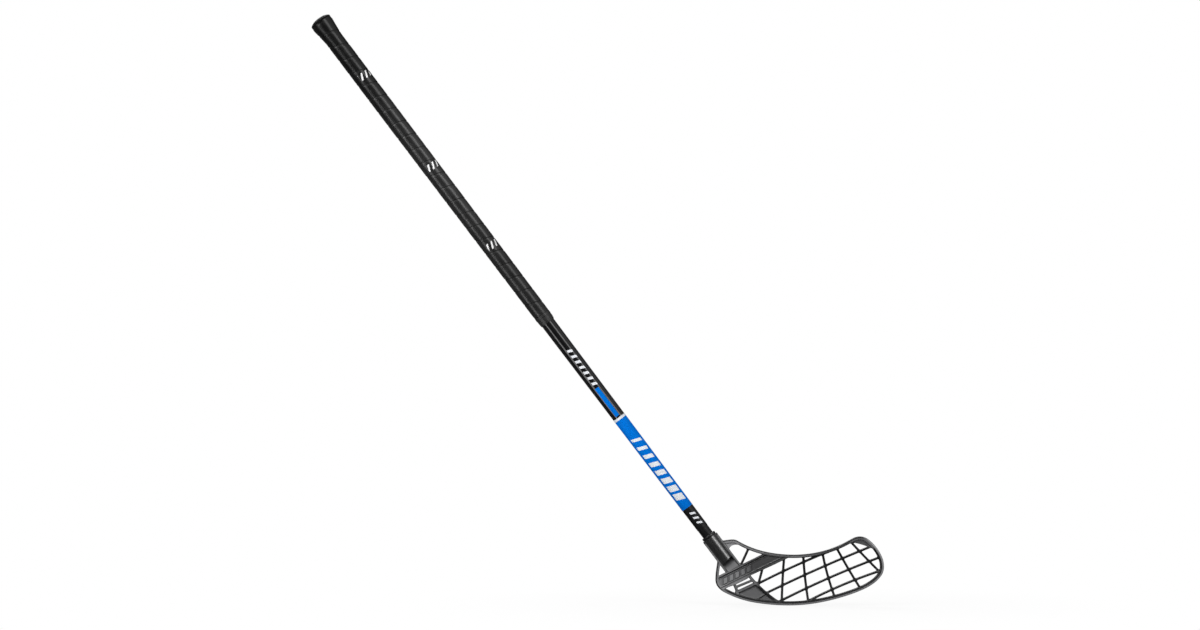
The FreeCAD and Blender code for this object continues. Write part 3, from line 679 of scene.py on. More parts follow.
# depths run from front to back, ease rounds an edge, and meet is the fillet where a form joins the rest
blade = {
    "low": (-40.0, -74.0, -13.8), "high": (237.0, 47.0, 13.8), "voxel": 0.6, "roughVoxel": 1.0,
    "fieldReach": 4.0, "relaxing": (0.5, -0.53), "relaxRounds": 3,
    "overrun": 12.0, "barSteps": 14, "arcSpacing": 2.0,
    "rim": {"width": 4.6, "soleWidth": 5.8, "bevel": 2.6, "bevelDrop": 1.5, "depth": 11.0, "ease": 0.6,
            "heelEnd": (-9.0, 3.0), "tipStart": (196.0, 214.0), "soleStart": (12.0, 30.0)},
    "rib": {"width": 3.5, "depth": 7.0, "ease": 0.9, "cross": 1.6, "meet": 1.8},
    "leg": {"width": 4.2, "depth": 8.6, "ease": 0.8, "cross": 1.2, "meet": 1.2},
    "ridge": {"width": 1.8, "depth": 4.8, "ease": 0.6, "meet": 0.8},
    "webs": {"ease": 0.5, "meet": 1.0},
    "hook": {"start": 60.0, "end": 231.9, "depth": 25.0},
    "scoop": {"depth": 5.0, "half": 40.0, "limit": 0.35, "middle": -31.0,
              "climb": 0.0009, "climbStart": 90.0, "start": (8.0, 60.0)},
}
brace = {
    "middle": (21.1, -19.9), "rise": math.radians(26.3), "endWall": 2.2,
    "width": 18.8, "depth": 9.6, "ease": 0.7, "meet": 0.8,
    "lip": ((-25.0, 2.4), (-14.0, 3.7), (5.0, 3.7), (12.0, 1.4), (50.0, 2.5)),
    "groove": {"at": 6.1, "width": 1.8, "depth": 1.6, "ease": 0.2, "meet": 0.3},
    "pocket": {"at": -1.2, "width": 10.8, "depth": 1.0, "ease": 0.3, "meet": 0.4},
    "pads": {"at": -5.0, "count": 5, "pitch": 9.6, "width": 6.4, "height": 8.0, "slant": 0.45,
             "rise": 0.6, "ease": 0.25, "meet": 0.4},
}

# rim outline, anticlockwise from the front: place and heading in degrees
bladeOutline = {
    "heelTop": (-12.4, -1.6, 263.0),
    "heel": (-15.5, -31.2, 270.0),
    "heelCorner": (-2.5, -49.3, 332.0),
    "sole": (92.0, -68.5, 360.0),
    "toe": (183.6, -51.5, 379.8),
    "tipLow": (216.1, -35.6, 396.0),
    "tip": (231.9, -10.5, 450.0),
    "tipHigh": (217.6, 22.0, 491.0),
    "crown": (196.9, 33.8, 540.0),
    "crownRear": (176.2, 25.3, 568.8),
    "waist": (99.4, 6.1, 540.0),
    "shoulderRear": (21.1, 24.4, 511.0),
    "shoulder": (10.8, 28.4, 540.0),
    "shoulderRoot": (-7.0, 26.4, 548.0),
}

# ribs and legs: start, middle and end, and which ends stop on another bar
bladeRibs = {
    "long1": ((48.4, -36.3), (112.7, -5.3), (139.3, 6.2), "start"),
    "long2": ((61.0, -49.9), (146.7, -9.7), (213.1, 19.1), "start"),
    "long3": ((82.4, -61.4), (151.1, -28.2), (224.9, 2.8), ""),
    "long4": ((121.6, -62.2), (157.0, -44.5), (226.4, -17.1), ""),
    "cross1": ((32.9, 14.6), (28.2, 4.0), (22.6, -7.5), ""),
    "cross2": ((53.6, -14.9), (50.9, -26.0), (47.7, -37.1), "end"),
    "cross3": ((85.7, -0.1), (83.6, -31.2), (82.4, -62.2), ""),
    "cross4": ((114.2, 3.5), (117.1, -31.2), (121.6, -62.9), ""),
    "cross5": ((143.0, 7.2), (151.1, -28.2), (160.7, -56.3), ""),
    "cross6": ((163.7, 15.4), (180.6, -14.9), (198.4, -43.7), ""),
    "cross7": ((185.1, 24.2), (199.8, 8.3), (224.2, -16.4), ""),
    "slotRib": ((15.0, -41.8), (27.4, -36.6), (39.0, -31.9), "start end"),
}
bladeLegs = {
    "rearLeg": ((11.5, -36.3), (15.3, -45.0), (18.6, -54.1), ""),
    "frontLeg": ((35.9, -26.0), (52.5, -44.7), (79.0, -64.0), ""),
    "panelBar": ((15.5, -49.4), (31.1, -42.4), (44.5, -35.8), "start end"),
}
panelRidge = ((45.0, -61.0), (61.0, -49.9))

# webs between the bars: where it has one, a free edge between two headings; then the corners that close it
bladeWebs = {
    "panel": {"depth": 3.0, "middle": -45.0, "upTilt": 0.06, "sideTilt": -0.08,
              "close": ((18.6, -54.1), (15.5, -49.4), (44.5, -35.8), (52.5, -44.7), (79.0, -64.0),
                        (79.0, -80.0), (18.6, -80.0))},
    "gusset": {"depth": 4.4, "middle": 40.0, "upTilt": 0.1,
               "from": (4.6, 14.6, 78.0), "to": (14.0, 20.9, 2.0),
               "close": ((21.1, 21.2), (21.1, 24.4), (10.8, 28.4), (-18.7, 24.7))},
    "web": {"depth": 4.6, "middle": 27.0, "upTilt": -0.2,
            "from": (178.0, 24.2, 6.0), "to": (216.0, 15.8, -23.0),
            "close": ((217.6, 22.0), (207.0, 31.5), (196.9, 33.8), (186.0, 30.5), (176.2, 25.3))},
    "fillet": {"depth": 7.0, "middle": 2.0, "upTilt": 0.0,
               "from": (72.0, -7.0, 29.0), "to": (97.0, 3.2, 14.0),
               "close": ((97.0, 8.0), (62.0, 1.0))},
    "heelWeb": {"depth": 5.0, "middle": -6.0, "upTilt": 0.0,
                "from": (-13.0, -12.0, 34.0), "to": (-3.0, -6.0, 28.0),
                "close": ((-13.0, -1.0),)},
}

hosel = {
    "mouth": 43.7, "screws": (31.0, 13.0), "screwHole": 1.6, "rimGapHalf": 10.6, "rimGapLow": -34.0,
    "tube": {"radius": 10.35, "low": -3.4, "endSlope": 0.23, "ease": 0.6, "meet": 0.9},
    "collar": {"radius": 11.1, "low": 40.2, "ease": 0.6, "meet": 0.5},
    "bore": {"radius": 8.58, "low": -0.3, "meet": 0.5},
    "plate": {"top": 39.4, "tail": -36.0, "half": 1.2, "ease": 0.5, "meet": 0.8},
    "ramp": {"start": 3.0, "length": 15.0, "rise": 3.4},
    "rail": {"half": 12.4, "width": 3.6, "depth": 10.4, "inBrace": 1.5, "ease": 0.8, "meet": 0.8},
    "boss": {"radius": 4.5, "face": 11.75, "ease": 0.5, "meet": 0.7},
}


def arcPoints(start, heading, end, straight=1e-6):
    # one arc that leaves start on its heading and reaches end
    chord = np.subtract(end, start)
    reach = np.hypot(*chord)
    half = (math.atan2(chord[1], chord[0]) - heading + math.pi) % (2 * math.pi) - math.pi
    count = max(2, math.ceil(reach / blade["arcSpacing"]))
    parts = np.arange(count) / count
    scale = parts if abs(half) < straight else np.sin(parts * half) / math.sin(half)
    direction = heading + parts * half
    spots = np.stack((np.cos(direction), np.sin(direction)), axis=-1) * (scale * reach)[:, None] + start
    return spots, heading + 2 * half


def tangentArcs(stations):
    # two tangent arcs between each pair of stations, which are a place and a heading in degrees
    points = []
    for (startX, startZ, leaving), (endX, endZ, arriving) in zip(stations, stations[1:]):
        start, end = np.array((startX, startZ)), np.array((endX, endZ))
        leaving, arriving = math.radians(leaving), math.radians(arriving)
        out = np.array((math.cos(leaving), math.sin(leaving)))
        into = np.array((math.cos(arriving), math.sin(arriving)))
        span = end - start
        along = span @ (out + into)
        spread = 2 * (1 - out @ into)
        handle = (math.sqrt(along ** 2 + spread * (span @ span)) - along) / spread
        middle = (start + end + (out - into) * handle) / 2
        first, heading = arcPoints(start, leaving, middle)
        second, _ = arcPoints(middle, heading, end)
        points += [*first, *second]
    return points


def outlinePoints():
    stations = list(bladeOutline.values())
    return tangentArcs(stations + stations[:1])


def webPoints(name):
    web = bladeWebs[name]
    edge = [*tangentArcs((web["from"], web["to"])), web["to"][:2]] if "from" in web else []
    return edge + list(web["close"])


def barPoints(start, middle, end, stops):
    # an even curve through three places, run on where the bar isn't stopped
    start, middle, end = (np.array(place) for place in (start, middle, end))
    if "start" not in stops:
        start = start + (start - middle) / np.linalg.norm(start - middle) * blade["overrun"]
    if "end" not in stops:
        end = end + (end - middle) / np.linalg.norm(end - middle) * blade["overrun"]
    share = np.linalg.norm(middle - start)
    share = share / (share + np.linalg.norm(end - middle))
    parts = np.linspace(0.0, 1.0, blade["barSteps"])[:, None]
    return (
        start * (parts - share) * (parts - 1) / share
        + middle * parts * (parts - 1) / (share * (share - 1))
        + end * parts * (parts - share) / (1 - share)
    )


class Places:
    # places in the blade's flat pattern, in millimetres, with their distances along and beside the shaft
    def __init__(self, x, z):
        self.x, self.z = x, z
        lean = stick["lean"]
        self.along = self.z * math.cos(lean) - self.x * math.sin(lean)
        self.aside = self.x * math.cos(lean) + self.z * math.sin(lean)

    def toLine(self, points, closed=False):
        best = np.full(self.x.shape, np.inf, np.float32)
        points = [tuple(map(float, point)) for point in points]
        for (ax, az), (bx, bz) in zip(points, points[1:] + (points[:1] if closed else [])):
            runX, runZ = bx - ax, bz - az
            part = ((self.x - ax) * runX + (self.z - az) * runZ) / (runX ** 2 + runZ ** 2)
            part = np.clip(part, 0.0, 1.0)
            np.minimum(best, np.hypot(self.x - ax - part * runX, self.z - az - part * runZ), out=best)
        return best

    def toShape(self, points):
        # negative inside a closed outline
        points = [tuple(map(float, point)) for point in points]
        inside = np.zeros(self.x.shape, bool)
        for (ax, az), (bx, bz) in zip(points, points[1:] + points[:1]):
            if az != bz:
                meets = ax + (self.z - az) * (bx - ax) / (bz - az)
                inside ^= ((az > self.z) != (bz > self.z)) & (self.x < meets)
        reach = self.toLine(points, closed=True)
        return np.where(inside, -reach, reach)

    def pastRidge(self):
        # how far a place lies beyond the sole panel's ridge, towards the tip
        (lowX, lowZ), (highX, highZ) = panelRidge
        return (self.x - lowX) - (self.z - lowZ) * (highX - lowX) / (highZ - lowZ)


class Pattern(Places):
    # the grid on which the blade's shape is worked out
    def __init__(self, step):
        self.step = step
        bounds = zip(blade["low"], blade["high"])
        axes = [np.arange(low, high, step, dtype=np.float32) for low, high in bounds]
        self.w = axes[2][None, None, :]
        super().__init__(*np.meshgrid(axes[0], axes[1], indexing="ij"))

    def slab(self, flat, half, ease, middle=0.0):
        # a flat shape of some thickness, with its edges rounded
        half, middle, flat = (np.atleast_3d(np.asarray(size, np.float32)) for size in (half, middle, flat))
        return rounded(flat, np.abs(self.w - middle) - half, ease)

    def added(self, body, flat, form, half=None, middle=0.0):
        # joins such a shape to the body in a fillet
        half = form["depth"] / 2 if half is None else half
        return fused(body, self.slab(flat, half, form["ease"], middle), form["meet"])

    def bars(self, bars, form):
        # a set of bars that meet each other in small fillets
        together = None
        for bar in bars.values():
            line = self.toLine(barPoints(*bar)) - form["width"] / 2
            together = line if together is None else fused(together, line, form["cross"])
        return together


def rounded(side, face, ease):
    # where two distances both hold, with their edge rounded
    side, face = side + ease, face + ease
    corner = np.hypot(np.maximum(side, 0.0), np.maximum(face, 0.0))
    return np.minimum(np.maximum(side, face), 0.0) + corner - ease


def fused(first, second, ease):
    # union with a fillet
    part = np.clip(0.5 + 0.5 * (second - first) / ease, 0.0, 1.0)
    return second + (first - second) * part - ease * part * (1 - part)


def carved(body, tool, ease):
    return -fused(-body, tool, ease)


def joined(body, side, face, form):
    return fused(body, rounded(side, face, form["ease"]), form["meet"])


def boxed(along, aside, halfLong, halfWide):
    return np.maximum(np.abs(along) - halfLong, np.abs(aside) - halfWide)


def faded(first, second, share):
    return first + (second - first) * share


def braceSpots(places):
    # distances along and across the brace
    rise = brace["rise"]
    offX, offZ = places.x - brace["middle"][0], places.z - brace["middle"][1]
    return offX * math.cos(rise) + offZ * math.sin(rise), offZ * math.cos(rise) - offX * math.sin(rise)


def braceBeam(runs, over, inside):
    # the beam, and its lower edge, a lip that is widest under the pads
    low = -brace["width"] / 2 - np.interp(runs, *zip(*brace["lip"]))
    return np.maximum(np.maximum(over - brace["width"] / 2, low - over), inside), low


def braceForms(runs, over, inside):
    # groove below the upper lip, pocket between the lips, row of low slanted pads in it
    groove, pocket, pads = brace["groove"], brace["pocket"], brace["pads"]
    within = inside + brace["endWall"]
    grooves = np.maximum(np.abs(over - groove["at"]) - groove["width"] / 2, within)
    pockets = np.maximum(np.abs(over - pocket["at"]) - pocket["width"] / 2, within)
    reach = pads["pitch"] * pads["count"] / 2
    slide = runs - pads["slant"] * over - pads["at"]
    row = np.abs((slide + reach) % pads["pitch"] - pads["pitch"] / 2) - pads["width"] / 2
    row = np.maximum(row, np.abs(over - pocket["at"]) - pads["height"] / 2)
    return grooves, pockets, np.maximum(row, np.abs(slide) - reach)


def rimSides(places):
    # shares of the heel, and of the sole with the tip, in the rim at each place
    rim = blade["rim"]
    atHeel = 1 - smoothStep(*rim["heelEnd"], places.x)
    atSole = np.maximum(smoothStep(*rim["tipStart"], places.x), smoothStep(*rim["soleStart"], -places.z))
    return atHeel, atSole * (1 - atHeel)


def rimWidth(atSole):
    return faded(blade["rim"]["width"], blade["rim"]["soleWidth"], atSole)


def latticeField(pattern, outline, inside):
    # rim bead, bevelled in front: outside on sole and tip, inside at the heel
    rim, ridge = blade["rim"], blade["ridge"]
    atHeel, atSole = rimSides(pattern)
    inwards = outline + rimWidth(atSole)
    offHosel = -np.maximum(np.abs(pattern.aside) - hosel["rimGapHalf"], hosel["rimGapLow"] - pattern.along)
    bead = np.maximum(np.maximum(outline, -inwards), offHosel)
    body = pattern.slab(bead, rim["depth"] / 2, rim["ease"])
    slope = math.atan2(rim["bevelDrop"], rim["bevel"])
    for edge, share in ((outline, atSole), (-inwards, atHeel)):
        reach = (edge + rim["bevel"] * share)[:, :, None] * math.sin(slope)
        body = carved(body, (pattern.w + rim["depth"] / 2) * math.cos(slope) - reach, rim["ease"])
    for bars, form in ((bladeRibs, blade["rib"]), (bladeLegs, blade["leg"])):
        body = pattern.added(body, np.maximum(pattern.bars(bars, form), inside), form)

    # webs: sole panel with its ridge, gusset at the shoulder, webs at crown and heel, fillet by the brace
    middles = {}
    for name, web in bladeWebs.items():
        form = {**blade["webs"], **web}
        middles[name] = form["upTilt"] * (pattern.z - form["middle"])
        if name == "panel":
            middles[name] = middles[name] + form["sideTilt"] * np.maximum(pattern.pastRidge(), 0.0)
        sheet = np.maximum(pattern.toShape(webPoints(name)), inside)
        body = pattern.added(body, sheet, form, middle=middles[name])
    line = np.maximum(pattern.toLine(panelRidge) - ridge["width"] / 2, inside)
    return pattern.added(body, line, ridge, middle=middles["panel"])


def addHosel(body, pattern, over):
    # plate that ramps up to the brace, two rails above it, round socket, bosses at the back
    along, aside, w = pattern.along, pattern.aside, pattern.w
    names = ("plate", "ramp", "rail", "tube", "collar", "boss")
    plate, ramp, rail, tube, collar, boss = (hosel[name] for name in names)
    middle, length = (plate["top"] + plate["tail"]) / 2, (plate["top"] - plate["tail"]) / 2
    rise = ramp["rise"] * np.clip((-along - ramp["start"]) / ramp["length"], 0.0, 1.0)
    flat = boxed(along - middle, aside, length, rail["half"])
    body = pattern.added(body, flat, plate, half=plate["half"] + rise)
    thin = rail["width"] / 2
    for side in (-1, 1):
        flat = boxed(along - middle, aside - side * (rail["half"] - thin), length, thin)
        body = pattern.added(body, np.maximum(flat, brace["width"] / 2 - rail["inBrace"] - over), rail)
    away = np.hypot(aside[:, :, None], w)
    along3 = along[:, :, None]
    beyond = along3 - hosel["mouth"]
    tubeEnd = (tube["low"] + tube["endSlope"] * aside - along)[:, :, None]
    body = joined(body, away - tube["radius"], np.maximum(beyond, tubeEnd), tube)
    body = joined(body, away - collar["radius"], np.maximum(beyond, collar["low"] - along3), collar)
    for height in hosel["screws"]:
        round3 = np.hypot(along - height, aside)[:, :, None]
        body = joined(body, round3 - boss["radius"], np.maximum(w - boss["face"], -w), boss)
    return body


def addBrace(body, pattern, runs, over, inside):
    front = -brace["depth"] / 2
    body = pattern.added(body, braceBeam(runs, over, inside)[0], brace)
    groove, pocket, row = braceForms(runs, over, inside)
    for flat, form in ((pocket, brace["pocket"]), (groove, brace["groove"])):
        body = carved(body, pattern.slab(flat, form["depth"], form["ease"], front), form["meet"])
    pads, seat = brace["pads"], front + brace["pocket"]["depth"]
    return pattern.added(body, row, pads, half=pads["rise"], middle=seat)


def bladeField(pattern):
    outline = pattern.toShape(outlinePoints())
    inside = outline + blade["rim"]["width"] / 2
    runs, over = braceSpots(pattern)
    body = latticeField(pattern, outline, inside)
    body = addHosel(body, pattern, over)
    body = addBrace(body, pattern, runs, over, inside)

    # bore and screw holes
    along, aside, bore = pattern.along, pattern.aside, hosel["bore"]
    away = np.hypot(aside[:, :, None], pattern.w)
    body = carved(body, np.maximum(away - bore["radius"], bore["low"] - along[:, :, None]), bore["meet"])
    for height in hosel["screws"]:
        hole = np.maximum(np.hypot(along - height, aside)[:, :, None] - hosel["screwHole"], -pattern.w)
        body = np.maximum(body, -hole)
    return body.astype(np.float32)


# shares of the painted light and shade on the blade, and where in millimetres it lies
paintedBladeTones = {
    "soft": 0.8, "facing": (0.3, 0.75), "blur": 2,
    "panel": 0.44, "panelPast": 0.3, "ridgeHalf": 1.2,
    "legs": {"rearLeg": (0.5, -60.0), "frontLeg": (0.6, -42.0), "panelBar": (0.55, -60.0)},
    "legHalf": 1.3, "legFade": 6.0, "legShadow": 2.6,
    "slotRib": 0.55, "slotHalf": 1.1,
    "gusset": 1.0, "web": 0.5, "heelWeb": 0.65, "webGap": 0.3,
    "ramp": 0.66, "rampFade": (4.0, 13.0), "rampTop": 3.0,
    "rail": 0.75, "railLine": (10.3, 11.9),
    "braceLeft": 0.95, "braceRight": 0.26, "braceFade": (-10.0, 24.0),
    "braceEdge": 0.5, "braceTop": 8.7, "braceCrease": (-8.6, -7.2),
    "pocket": 0.25, "padEdge": 0.9, "padLine": (-0.3, 1.0),
    "rim": 0.9, "rimCrown": 0.2, "rimFade": (90.0, 165.0), "rimLine": (-3.2, -1.4),
    "rimSole": 1.0, "rimHeel": 0.9, "rimOver": 0.6, "rimGapHalf": 12.0, "rimGapLow": -36.0,
    "polished": (-9.4, 6.4), "polishedTop": 0.6,
}


def mask(distance):
    return np.clip(0.5 - distance / paintedBladeTones["soft"], 0.0, 1.0)


def stripe(value, low, high):
    return mask(np.maximum(low - value, value - high))


def paintedWebLight(places, inside, inwards):
    # painted light on panel, legs, slot rib and webs, with painted shade on the panel under its ridge and
    # legs
    tone = paintedBladeTones
    panel = np.where(places.pastRidge() > 0, tone["panelPast"], tone["panel"])
    panel = panel * mask(np.maximum(places.toShape(webPoints("panel")), inwards))
    panel *= 1 - mask(places.toLine(panelRidge) - tone["ridgeHalf"])
    webs = []
    for name, bar in bladeLegs.items():
        line = places.toLine(barPoints(*bar))
        share, lowest = tone["legs"][name]
        fade = smoothStep(lowest, lowest + tone["legFade"], places.z)
        webs.append(share * mask(np.maximum(line - tone["legHalf"], inwards)) * fade)
        panel *= 1 - mask(line - tone["legShadow"])
    webs.append(panel)
    slot = places.toLine(barPoints(*bladeRibs["slotRib"]))
    webs.append(tone["slotRib"] * mask(slot - tone["slotHalf"]))
    besideRails = hosel["rail"]["half"] + tone["webGap"] - np.abs(places.aside)
    for name in ("gusset", "web", "heelWeb"):
        sheet = np.maximum(places.toShape(webPoints(name)), inside)
        webs.append(tone[name] * mask(np.maximum(sheet, besideRails)))
    return webs


def paintedBladeLight(places, facing):
    # painted light and shade on the moulding, and how polished it is; facing is 1 where a point looks
    # forward, and only such faces are painted paler
    rim, rail, tone = blade["rim"], hosel["rail"], paintedBladeTones
    outline = places.toShape(outlinePoints())
    inside = outline + rim["width"] / 2
    runs, over = braceSpots(places)
    along, aside = places.along, places.aside
    atHeel, atSole = rimSides(places)
    webs = paintedWebLight(places, inside, outline + rimWidth(atSole))

    # the ramp below the socket is painted paler towards the brace, with painted shade by the socket's end;
    # the rails carry a painted highlight line
    between = rail["half"] - rail["width"]
    above = np.maximum(brace["width"] / 2 - over, along - hosel["plate"]["top"] + tone["rampTop"])
    ramp = tone["ramp"] * smoothStep(*tone["rampFade"], -along)
    ramp = ramp * mask(np.maximum(np.abs(aside) - between, above))
    rails = tone["rail"] * stripe(np.abs(aside), *tone["railLine"]) * mask(above)

    # brace: painted light, paler towards the heel, with painted shade along its edges, in its groove, its
    # pocket and round its pads
    groove, pocket, pads = braceForms(runs, over, inside)
    beam, low = braceBeam(runs, over, inside)
    beam = mask(beam)
    shade = faded(tone["braceLeft"], tone["braceRight"], smoothStep(*tone["braceFade"], runs))
    shade = shade * (1 - mask(groove)) * (1 - tone["pocket"] * mask(pocket) * (1 - mask(pads)))
    shade = shade * (1 - tone["padEdge"] * stripe(pads, *tone["padLine"]))
    shade = shade * stripe(over, low + tone["braceEdge"], tone["braceTop"])
    shade = shade * (1 - stripe(over, *tone["braceCrease"]))

    # rim: a painted highlight line on its front that fades towards the crown, and painted light on its bevels
    line = faded(tone["rim"], tone["rimCrown"], smoothStep(*tone["rimFade"], places.x))
    bead = line * stripe(outline, *tone["rimLine"]) * (1 - atHeel) * (1 - atSole)
    bead += tone["rimSole"] * stripe(outline, -rim["bevel"], tone["rimOver"]) * atSole
    inner = -rim["width"]
    bead += tone["rimHeel"] * stripe(outline, inner - tone["rimOver"], inner + rim["bevel"]) * atHeel
    bead *= 1 - mask(np.maximum(np.abs(aside) - tone["rimGapHalf"], tone["rimGapLow"] - along))

    faces = np.where(beam > 0.5, shade, np.maximum.reduce([*webs, ramp, rails]))
    socket = stripe(along, hosel["tube"]["low"], hosel["collar"]["low"] - tone["polishedTop"])
    socket = socket * stripe(aside, *tone["polished"])
    return np.maximum(faces, bead * (1 - beam)) * facing, socket * (1 - beam) * facing


def bladeBow(x, z):
    # how far the middle of the sheet stands behind the shaft's plane
    hook, scoop = blade["hook"], blade["scoop"]
    bend = ((hook["end"] - hook["start"]) ** 2 + hook["depth"] ** 2) / (2 * hook["depth"])
    past = np.maximum(x - hook["start"], 0.0)
    hooked = np.sqrt(bend ** 2 - past ** 2) - bend
    middle = scoop["middle"] + scoop["climb"] * np.maximum(x - scoop["climbStart"], 0.0) ** 2
    off = ((z - middle) / scoop["half"]) ** 2
    start = smoothStep(*scoop["start"], -Places(x, z).along)
    return hooked - scoop["depth"] * start * off / (1 + scoop["limit"] * off)


def neighbourMean(values, quads):
    # mean of each row's neighbours along the edges of the mesh
    first, second = quads.ravel(), np.roll(quads, -1, axis=1).ravel()
    starts, ends = np.concatenate((first, second)), np.concatenate((second, first))
    count = len(values)
    means = [np.bincount(starts, weights=column[ends], minlength=count) for column in values.T]
    return np.stack(means, axis=-1) / np.bincount(starts, minlength=count)[:, None]


def relaxed(spots, quads):
    # evens out the grid's steps, and pushes back so that nothing shrinks
    for push in blade["relaxing"] * blade["relaxRounds"]:
        spots = spots + push * (neighbourMean(spots, quads) - spots)
    return spots


def buildBlade():
    pattern = Pattern(blade["voxel"])
    reach = blade["fieldReach"]
    volume = openvdb.FloatGrid(reach)
    volume.copyFromArray(np.clip(bladeField(pattern), -reach, reach))
    spots, quads = volume.convertToQuads(isovalue=0.0)
    spots = relaxed(spots.astype(float), quads) * pattern.step + np.array(blade["low"])
    # it leaves its tool straight forward, so its walls stay parallel on the bowed sheet
    x, z, w = spots.T
    points = np.stack((x, bladeBow(x, z) + w, z), axis=-1) * mm
    place = (bladePlace, "stick", "blade", "blade_plastic")
    piece = makePiece("bladeMoulding", points, quads, bladePlastic, *place, sharp=None)
    normals = np.zeros(3 * len(spots), np.float32)
    piece.data.vertices.foreach_get("normal", normals)
    # painted light goes only on faces that look forward
    facing = smoothStep(*paintedBladeTones["facing"], -normals[1::3])
    tones = np.stack(paintedBladeLight(Places(x, z), facing), axis=-1)
    for _ in range(paintedBladeTones["blur"]):
        tones = (tones + neighbourMean(tones, quads)) / 2
    # the pale attribute carries the painted light and shade
    for name, values in zip(("pale", "polished"), tones.T):
        layer = piece.data.attributes.new(name, "FLOAT", "POINT")
        layer.data.foreach_set("value", values.astype(np.float32))


# stage, light and camera

def lightPath(tree):
    path = addNode(tree, "LightPath").outputs
    return path["Is Camera Ray"], sums(tree, "MAXIMUM", path["Is Glossy Ray"], path["Is Transmission Ray"])


floor = {
    "half": 30.0, "drop": 0.0004, "foot": (0.485, 0.0),
    "paper": grey(0.90), "bounce": (0.36, 0.36, 0.37, 1),
    "behindFrom": (-0.06, 0.0), "behind": (0.0, 0.06),
    "furtherFrom": (0.0, 0.5), "further": (0.0, 0.06),
    "shadowReach": (0.1, 0.6), "shadowWhite": (0.88, 1.0),
}


def buildFloor():
    half, level = floor["half"], cadBox[0].z - floor["drop"]
    mesh = bpy.data.meshes.new("floor")
    corners = [(-half, -half, level), (half, -half, level), (half, half, level), (-half, half, level)]
    mesh.from_pydata(corners, [], [(0, 1, 2, 3)])
    sheet = bpy.data.objects.new("floor", mesh)
    scene.collection.objects.link(sheet)
    material = bpy.data.materials.new("floorPaper")
    material.use_nodes = True
    tree = material.node_tree
    tree.nodes.remove(tree.nodes["Principled BSDF"])
    where = addNode(tree, "TexCoord").outputs["Object"]
    depth = addNode(tree, "SeparateXYZ", {0: where}).outputs["Y"]
    wires = {0: where, 1: (*floor["foot"], level)}
    aside = addNode(tree, "VectorMath", wires, operation="DISTANCE").outputs["Value"]
    camera, shiny = lightPath(tree)

    # shiny pieces show a little lit paper behind them, and dark paper in front
    shown = ranged(tree, depth, floor["behindFrom"], floor["behind"], smooth=True)
    shown = sums(tree, "ADD", shown, ranged(tree, depth, floor["furtherFrom"], floor["further"], smooth=True))
    # the camera sees even white, with a little of the paper and its shadow near the foot
    share = ranged(tree, aside, floor["shadowReach"], floor["shadowWhite"], smooth=True)
    seen = sums(tree, "MAXIMUM", sums(tree, "MULTIPLY", camera, share), shiny)
    strength = ranged(tree, camera, unit, (shown, 1.0))
    tint = blendColour(tree, camera, floor["bounce"], floor["paper"])
    paper = addNode(tree, "BsdfDiffuse", {"Color": tint}).outputs[0]
    glow = addNode(tree, "Emission", {"Color": white, "Strength": strength}).outputs[0]
    lit = addNode(tree, "MixShader", {0: seen, 1: paper, 2: glow}).outputs[0]
    clear = addNode(tree, "BsdfTransparent").outputs[0]
    under = addNode(tree, "NewGeometry").outputs["Backfacing"]
    both = addNode(tree, "MixShader", {0: under, 1: lit, 2: clear}).outputs[0]
    wireUp(tree, tree.nodes["Material Output"], {"Surface": both})
    mesh.materials.append(material)


room = {
    "front": 0.07, "wall": 0.62, "wallTowards": (0.798, 0.0, 0.602), "wallSpread": (0.2, 0.95),
    "wallDepth": (-0.1, 0.55), "wallShare": (1.0, 0.1),
    "paperDepth": (0.75, 0.92), "paperShine": (0.0, 0.2),
}


def buildWorld():
    # dim room, one pale wall at the upper right, white paper behind
    world = bpy.data.worlds.new("studio")
    world.use_nodes = True
    scene.world = world
    tree = world.node_tree
    where = addNode(tree, "TexCoord").outputs["Generated"]
    depth = addNode(tree, "SeparateXYZ", {0: where}).outputs["Y"]
    wires = {0: where, 1: room["wallTowards"]}
    towards = addNode(tree, "VectorMath", wires, operation="DOT_PRODUCT").outputs["Value"]
    wall = ranged(tree, towards, room["wallSpread"], (0.0, room["wall"] - room["front"]), smooth=True)
    share = ranged(tree, depth, room["wallDepth"], room["wallShare"], smooth=True)
    wall = sums(tree, "ADD", sums(tree, "MULTIPLY", wall, share), room["front"])
    behind = ranged(tree, depth, room["paperDepth"], room["paperShine"], smooth=True)
    camera, shiny = lightPath(tree)
    seen = sums(tree, "MAXIMUM", camera, sums(tree, "MULTIPLY", shiny, behind))
    bright = ranged(tree, seen, unit, (wall, 1.0))
    wireUp(tree, tree.nodes["Background"], {"Color": white, "Strength": bright})


# soft boxes stand round the shaft: degrees to its right, degrees up along it, size across and along it
lightCentre = Vector((0.25, 0.0, -0.2))
softBoxes = {
    "rightStrip": {"round": 43.0, "along": 8.0, "distance": 3.4, "size": (1.1, 3.4), "power": 50.0},
    "leftBox": {"round": -42.0, "along": 30.0, "distance": 3.2, "size": (0.9, 1.8), "power": 32.0},
    "topBox": {"round": 0.0, "along": 50.0, "distance": 3.4, "size": (1.6, 1.2), "power": 42.0},
    "backBox": {"round": 170.0, "along": 44.0, "distance": 3.4, "size": (1.6, 1.4), "power": 60.0},
}
# one more lies on the floor at the front left, faces up, and runs away from the stick's foot
lowBox = {"turn": math.radians(38.0), "near": 0.6, "far": 2.25, "width": 0.3, "lift": 0.01, "power": 7.6}


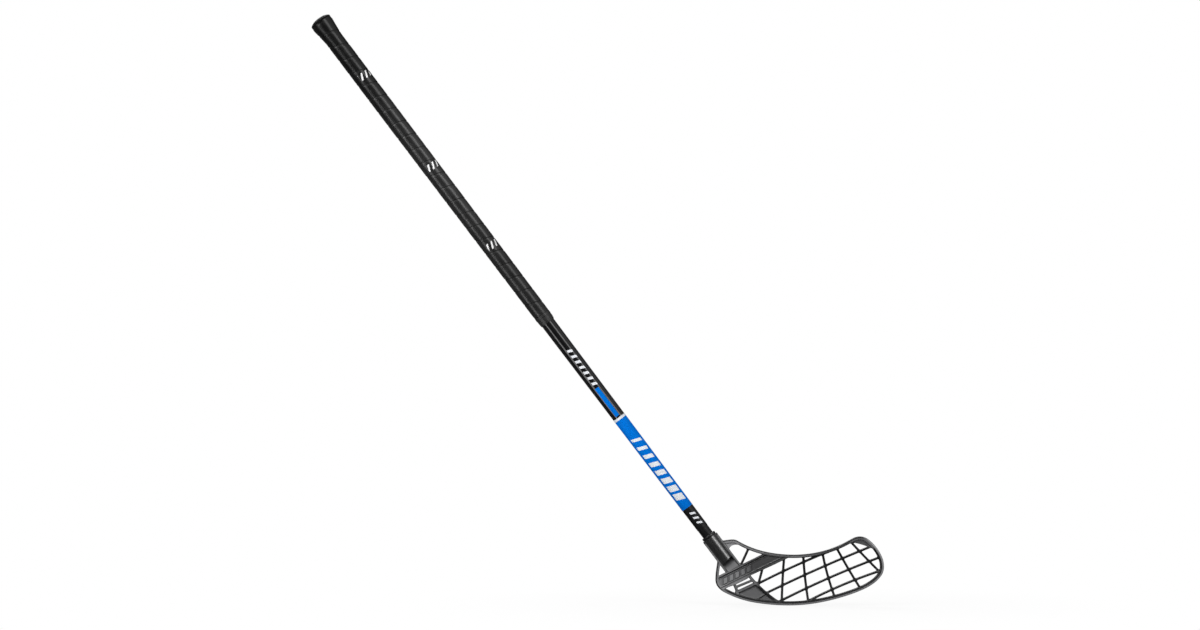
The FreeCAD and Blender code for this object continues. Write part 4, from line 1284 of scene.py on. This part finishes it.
def addSoftBox(name, size, power, place, tall, back):
    lamp = bpy.data.lights.new(name, "AREA")
    lamp.shape = "RECTANGLE"
    lamp.size, lamp.size_y = size
    lamp.energy = power
    holder = bpy.data.objects.new(name, lamp)
    scene.collection.objects.link(holder)
    turned = Matrix((tall.cross(back), tall, back)).transposed().to_4x4()
    holder.matrix_world = Matrix.Translation(place) @ turned


def buildLights():
    front = Vector((0.0, -1.0, 0.0))
    right = Vector((math.cos(stick["lean"]), 0.0, math.sin(stick["lean"])))
    up = Vector((-math.sin(stick["lean"]), 0.0, math.cos(stick["lean"])))
    for name, box in softBoxes.items():
        around, along = math.radians(box["round"]), math.radians(box["along"])
        level = front * math.cos(around) + right * math.sin(around)
        towards = level * math.cos(along) + up * math.sin(along)
        tall = (up - towards * up.dot(towards)).normalized()
        addSoftBox(name, box["size"], box["power"], lightCentre + towards * box["distance"], tall, towards)

    away = Vector((-math.cos(lowBox["turn"]), -math.sin(lowBox["turn"]), 0.0))
    foot = Vector((*floor["foot"], cadBox[0].z + lowBox["lift"]))
    place = foot + away * (lowBox["near"] + lowBox["far"]) / 2
    size = (lowBox["width"], lowBox["far"] - lowBox["near"])
    addSoftBox("lowBox", size, lowBox["power"], place, away, Vector((0.0, 0.0, -1.0)))


view = {"lens": 150.0, "sensor": 36.0, "frameWidth": 1.7724, "centre": (0.24716, -0.21418), "clipEnd": 100.0}


def buildCamera():
    camera = bpy.data.cameras.new("camera")
    camera.lens = view["lens"]
    camera.sensor_width = view["sensor"]
    camera.clip_end = view["clipEnd"]
    holder = bpy.data.objects.new("camera", camera)
    scene.collection.objects.link(holder)
    distance = view["frameWidth"] * view["lens"] / view["sensor"]
    holder.location = (view["centre"][0], -distance, view["centre"][1])
    holder.rotation_euler = (math.radians(90.0), 0.0, 0.0)
    scene.camera = holder


buildShaft()
buildTape()
buildCap()
buildBand()
buildFilms()
buildBlade()
for node in ("blade_screw_upper", "blade_screw_lower"):
    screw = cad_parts[node]
    screw.data.materials.clear()
    screw.data.materials.append(screwZinc)
print("pieces: done")

buildFloor()
buildWorld()
buildLights()
buildCamera()
scene.view_settings.view_transform = "Standard"
print("stage: done")
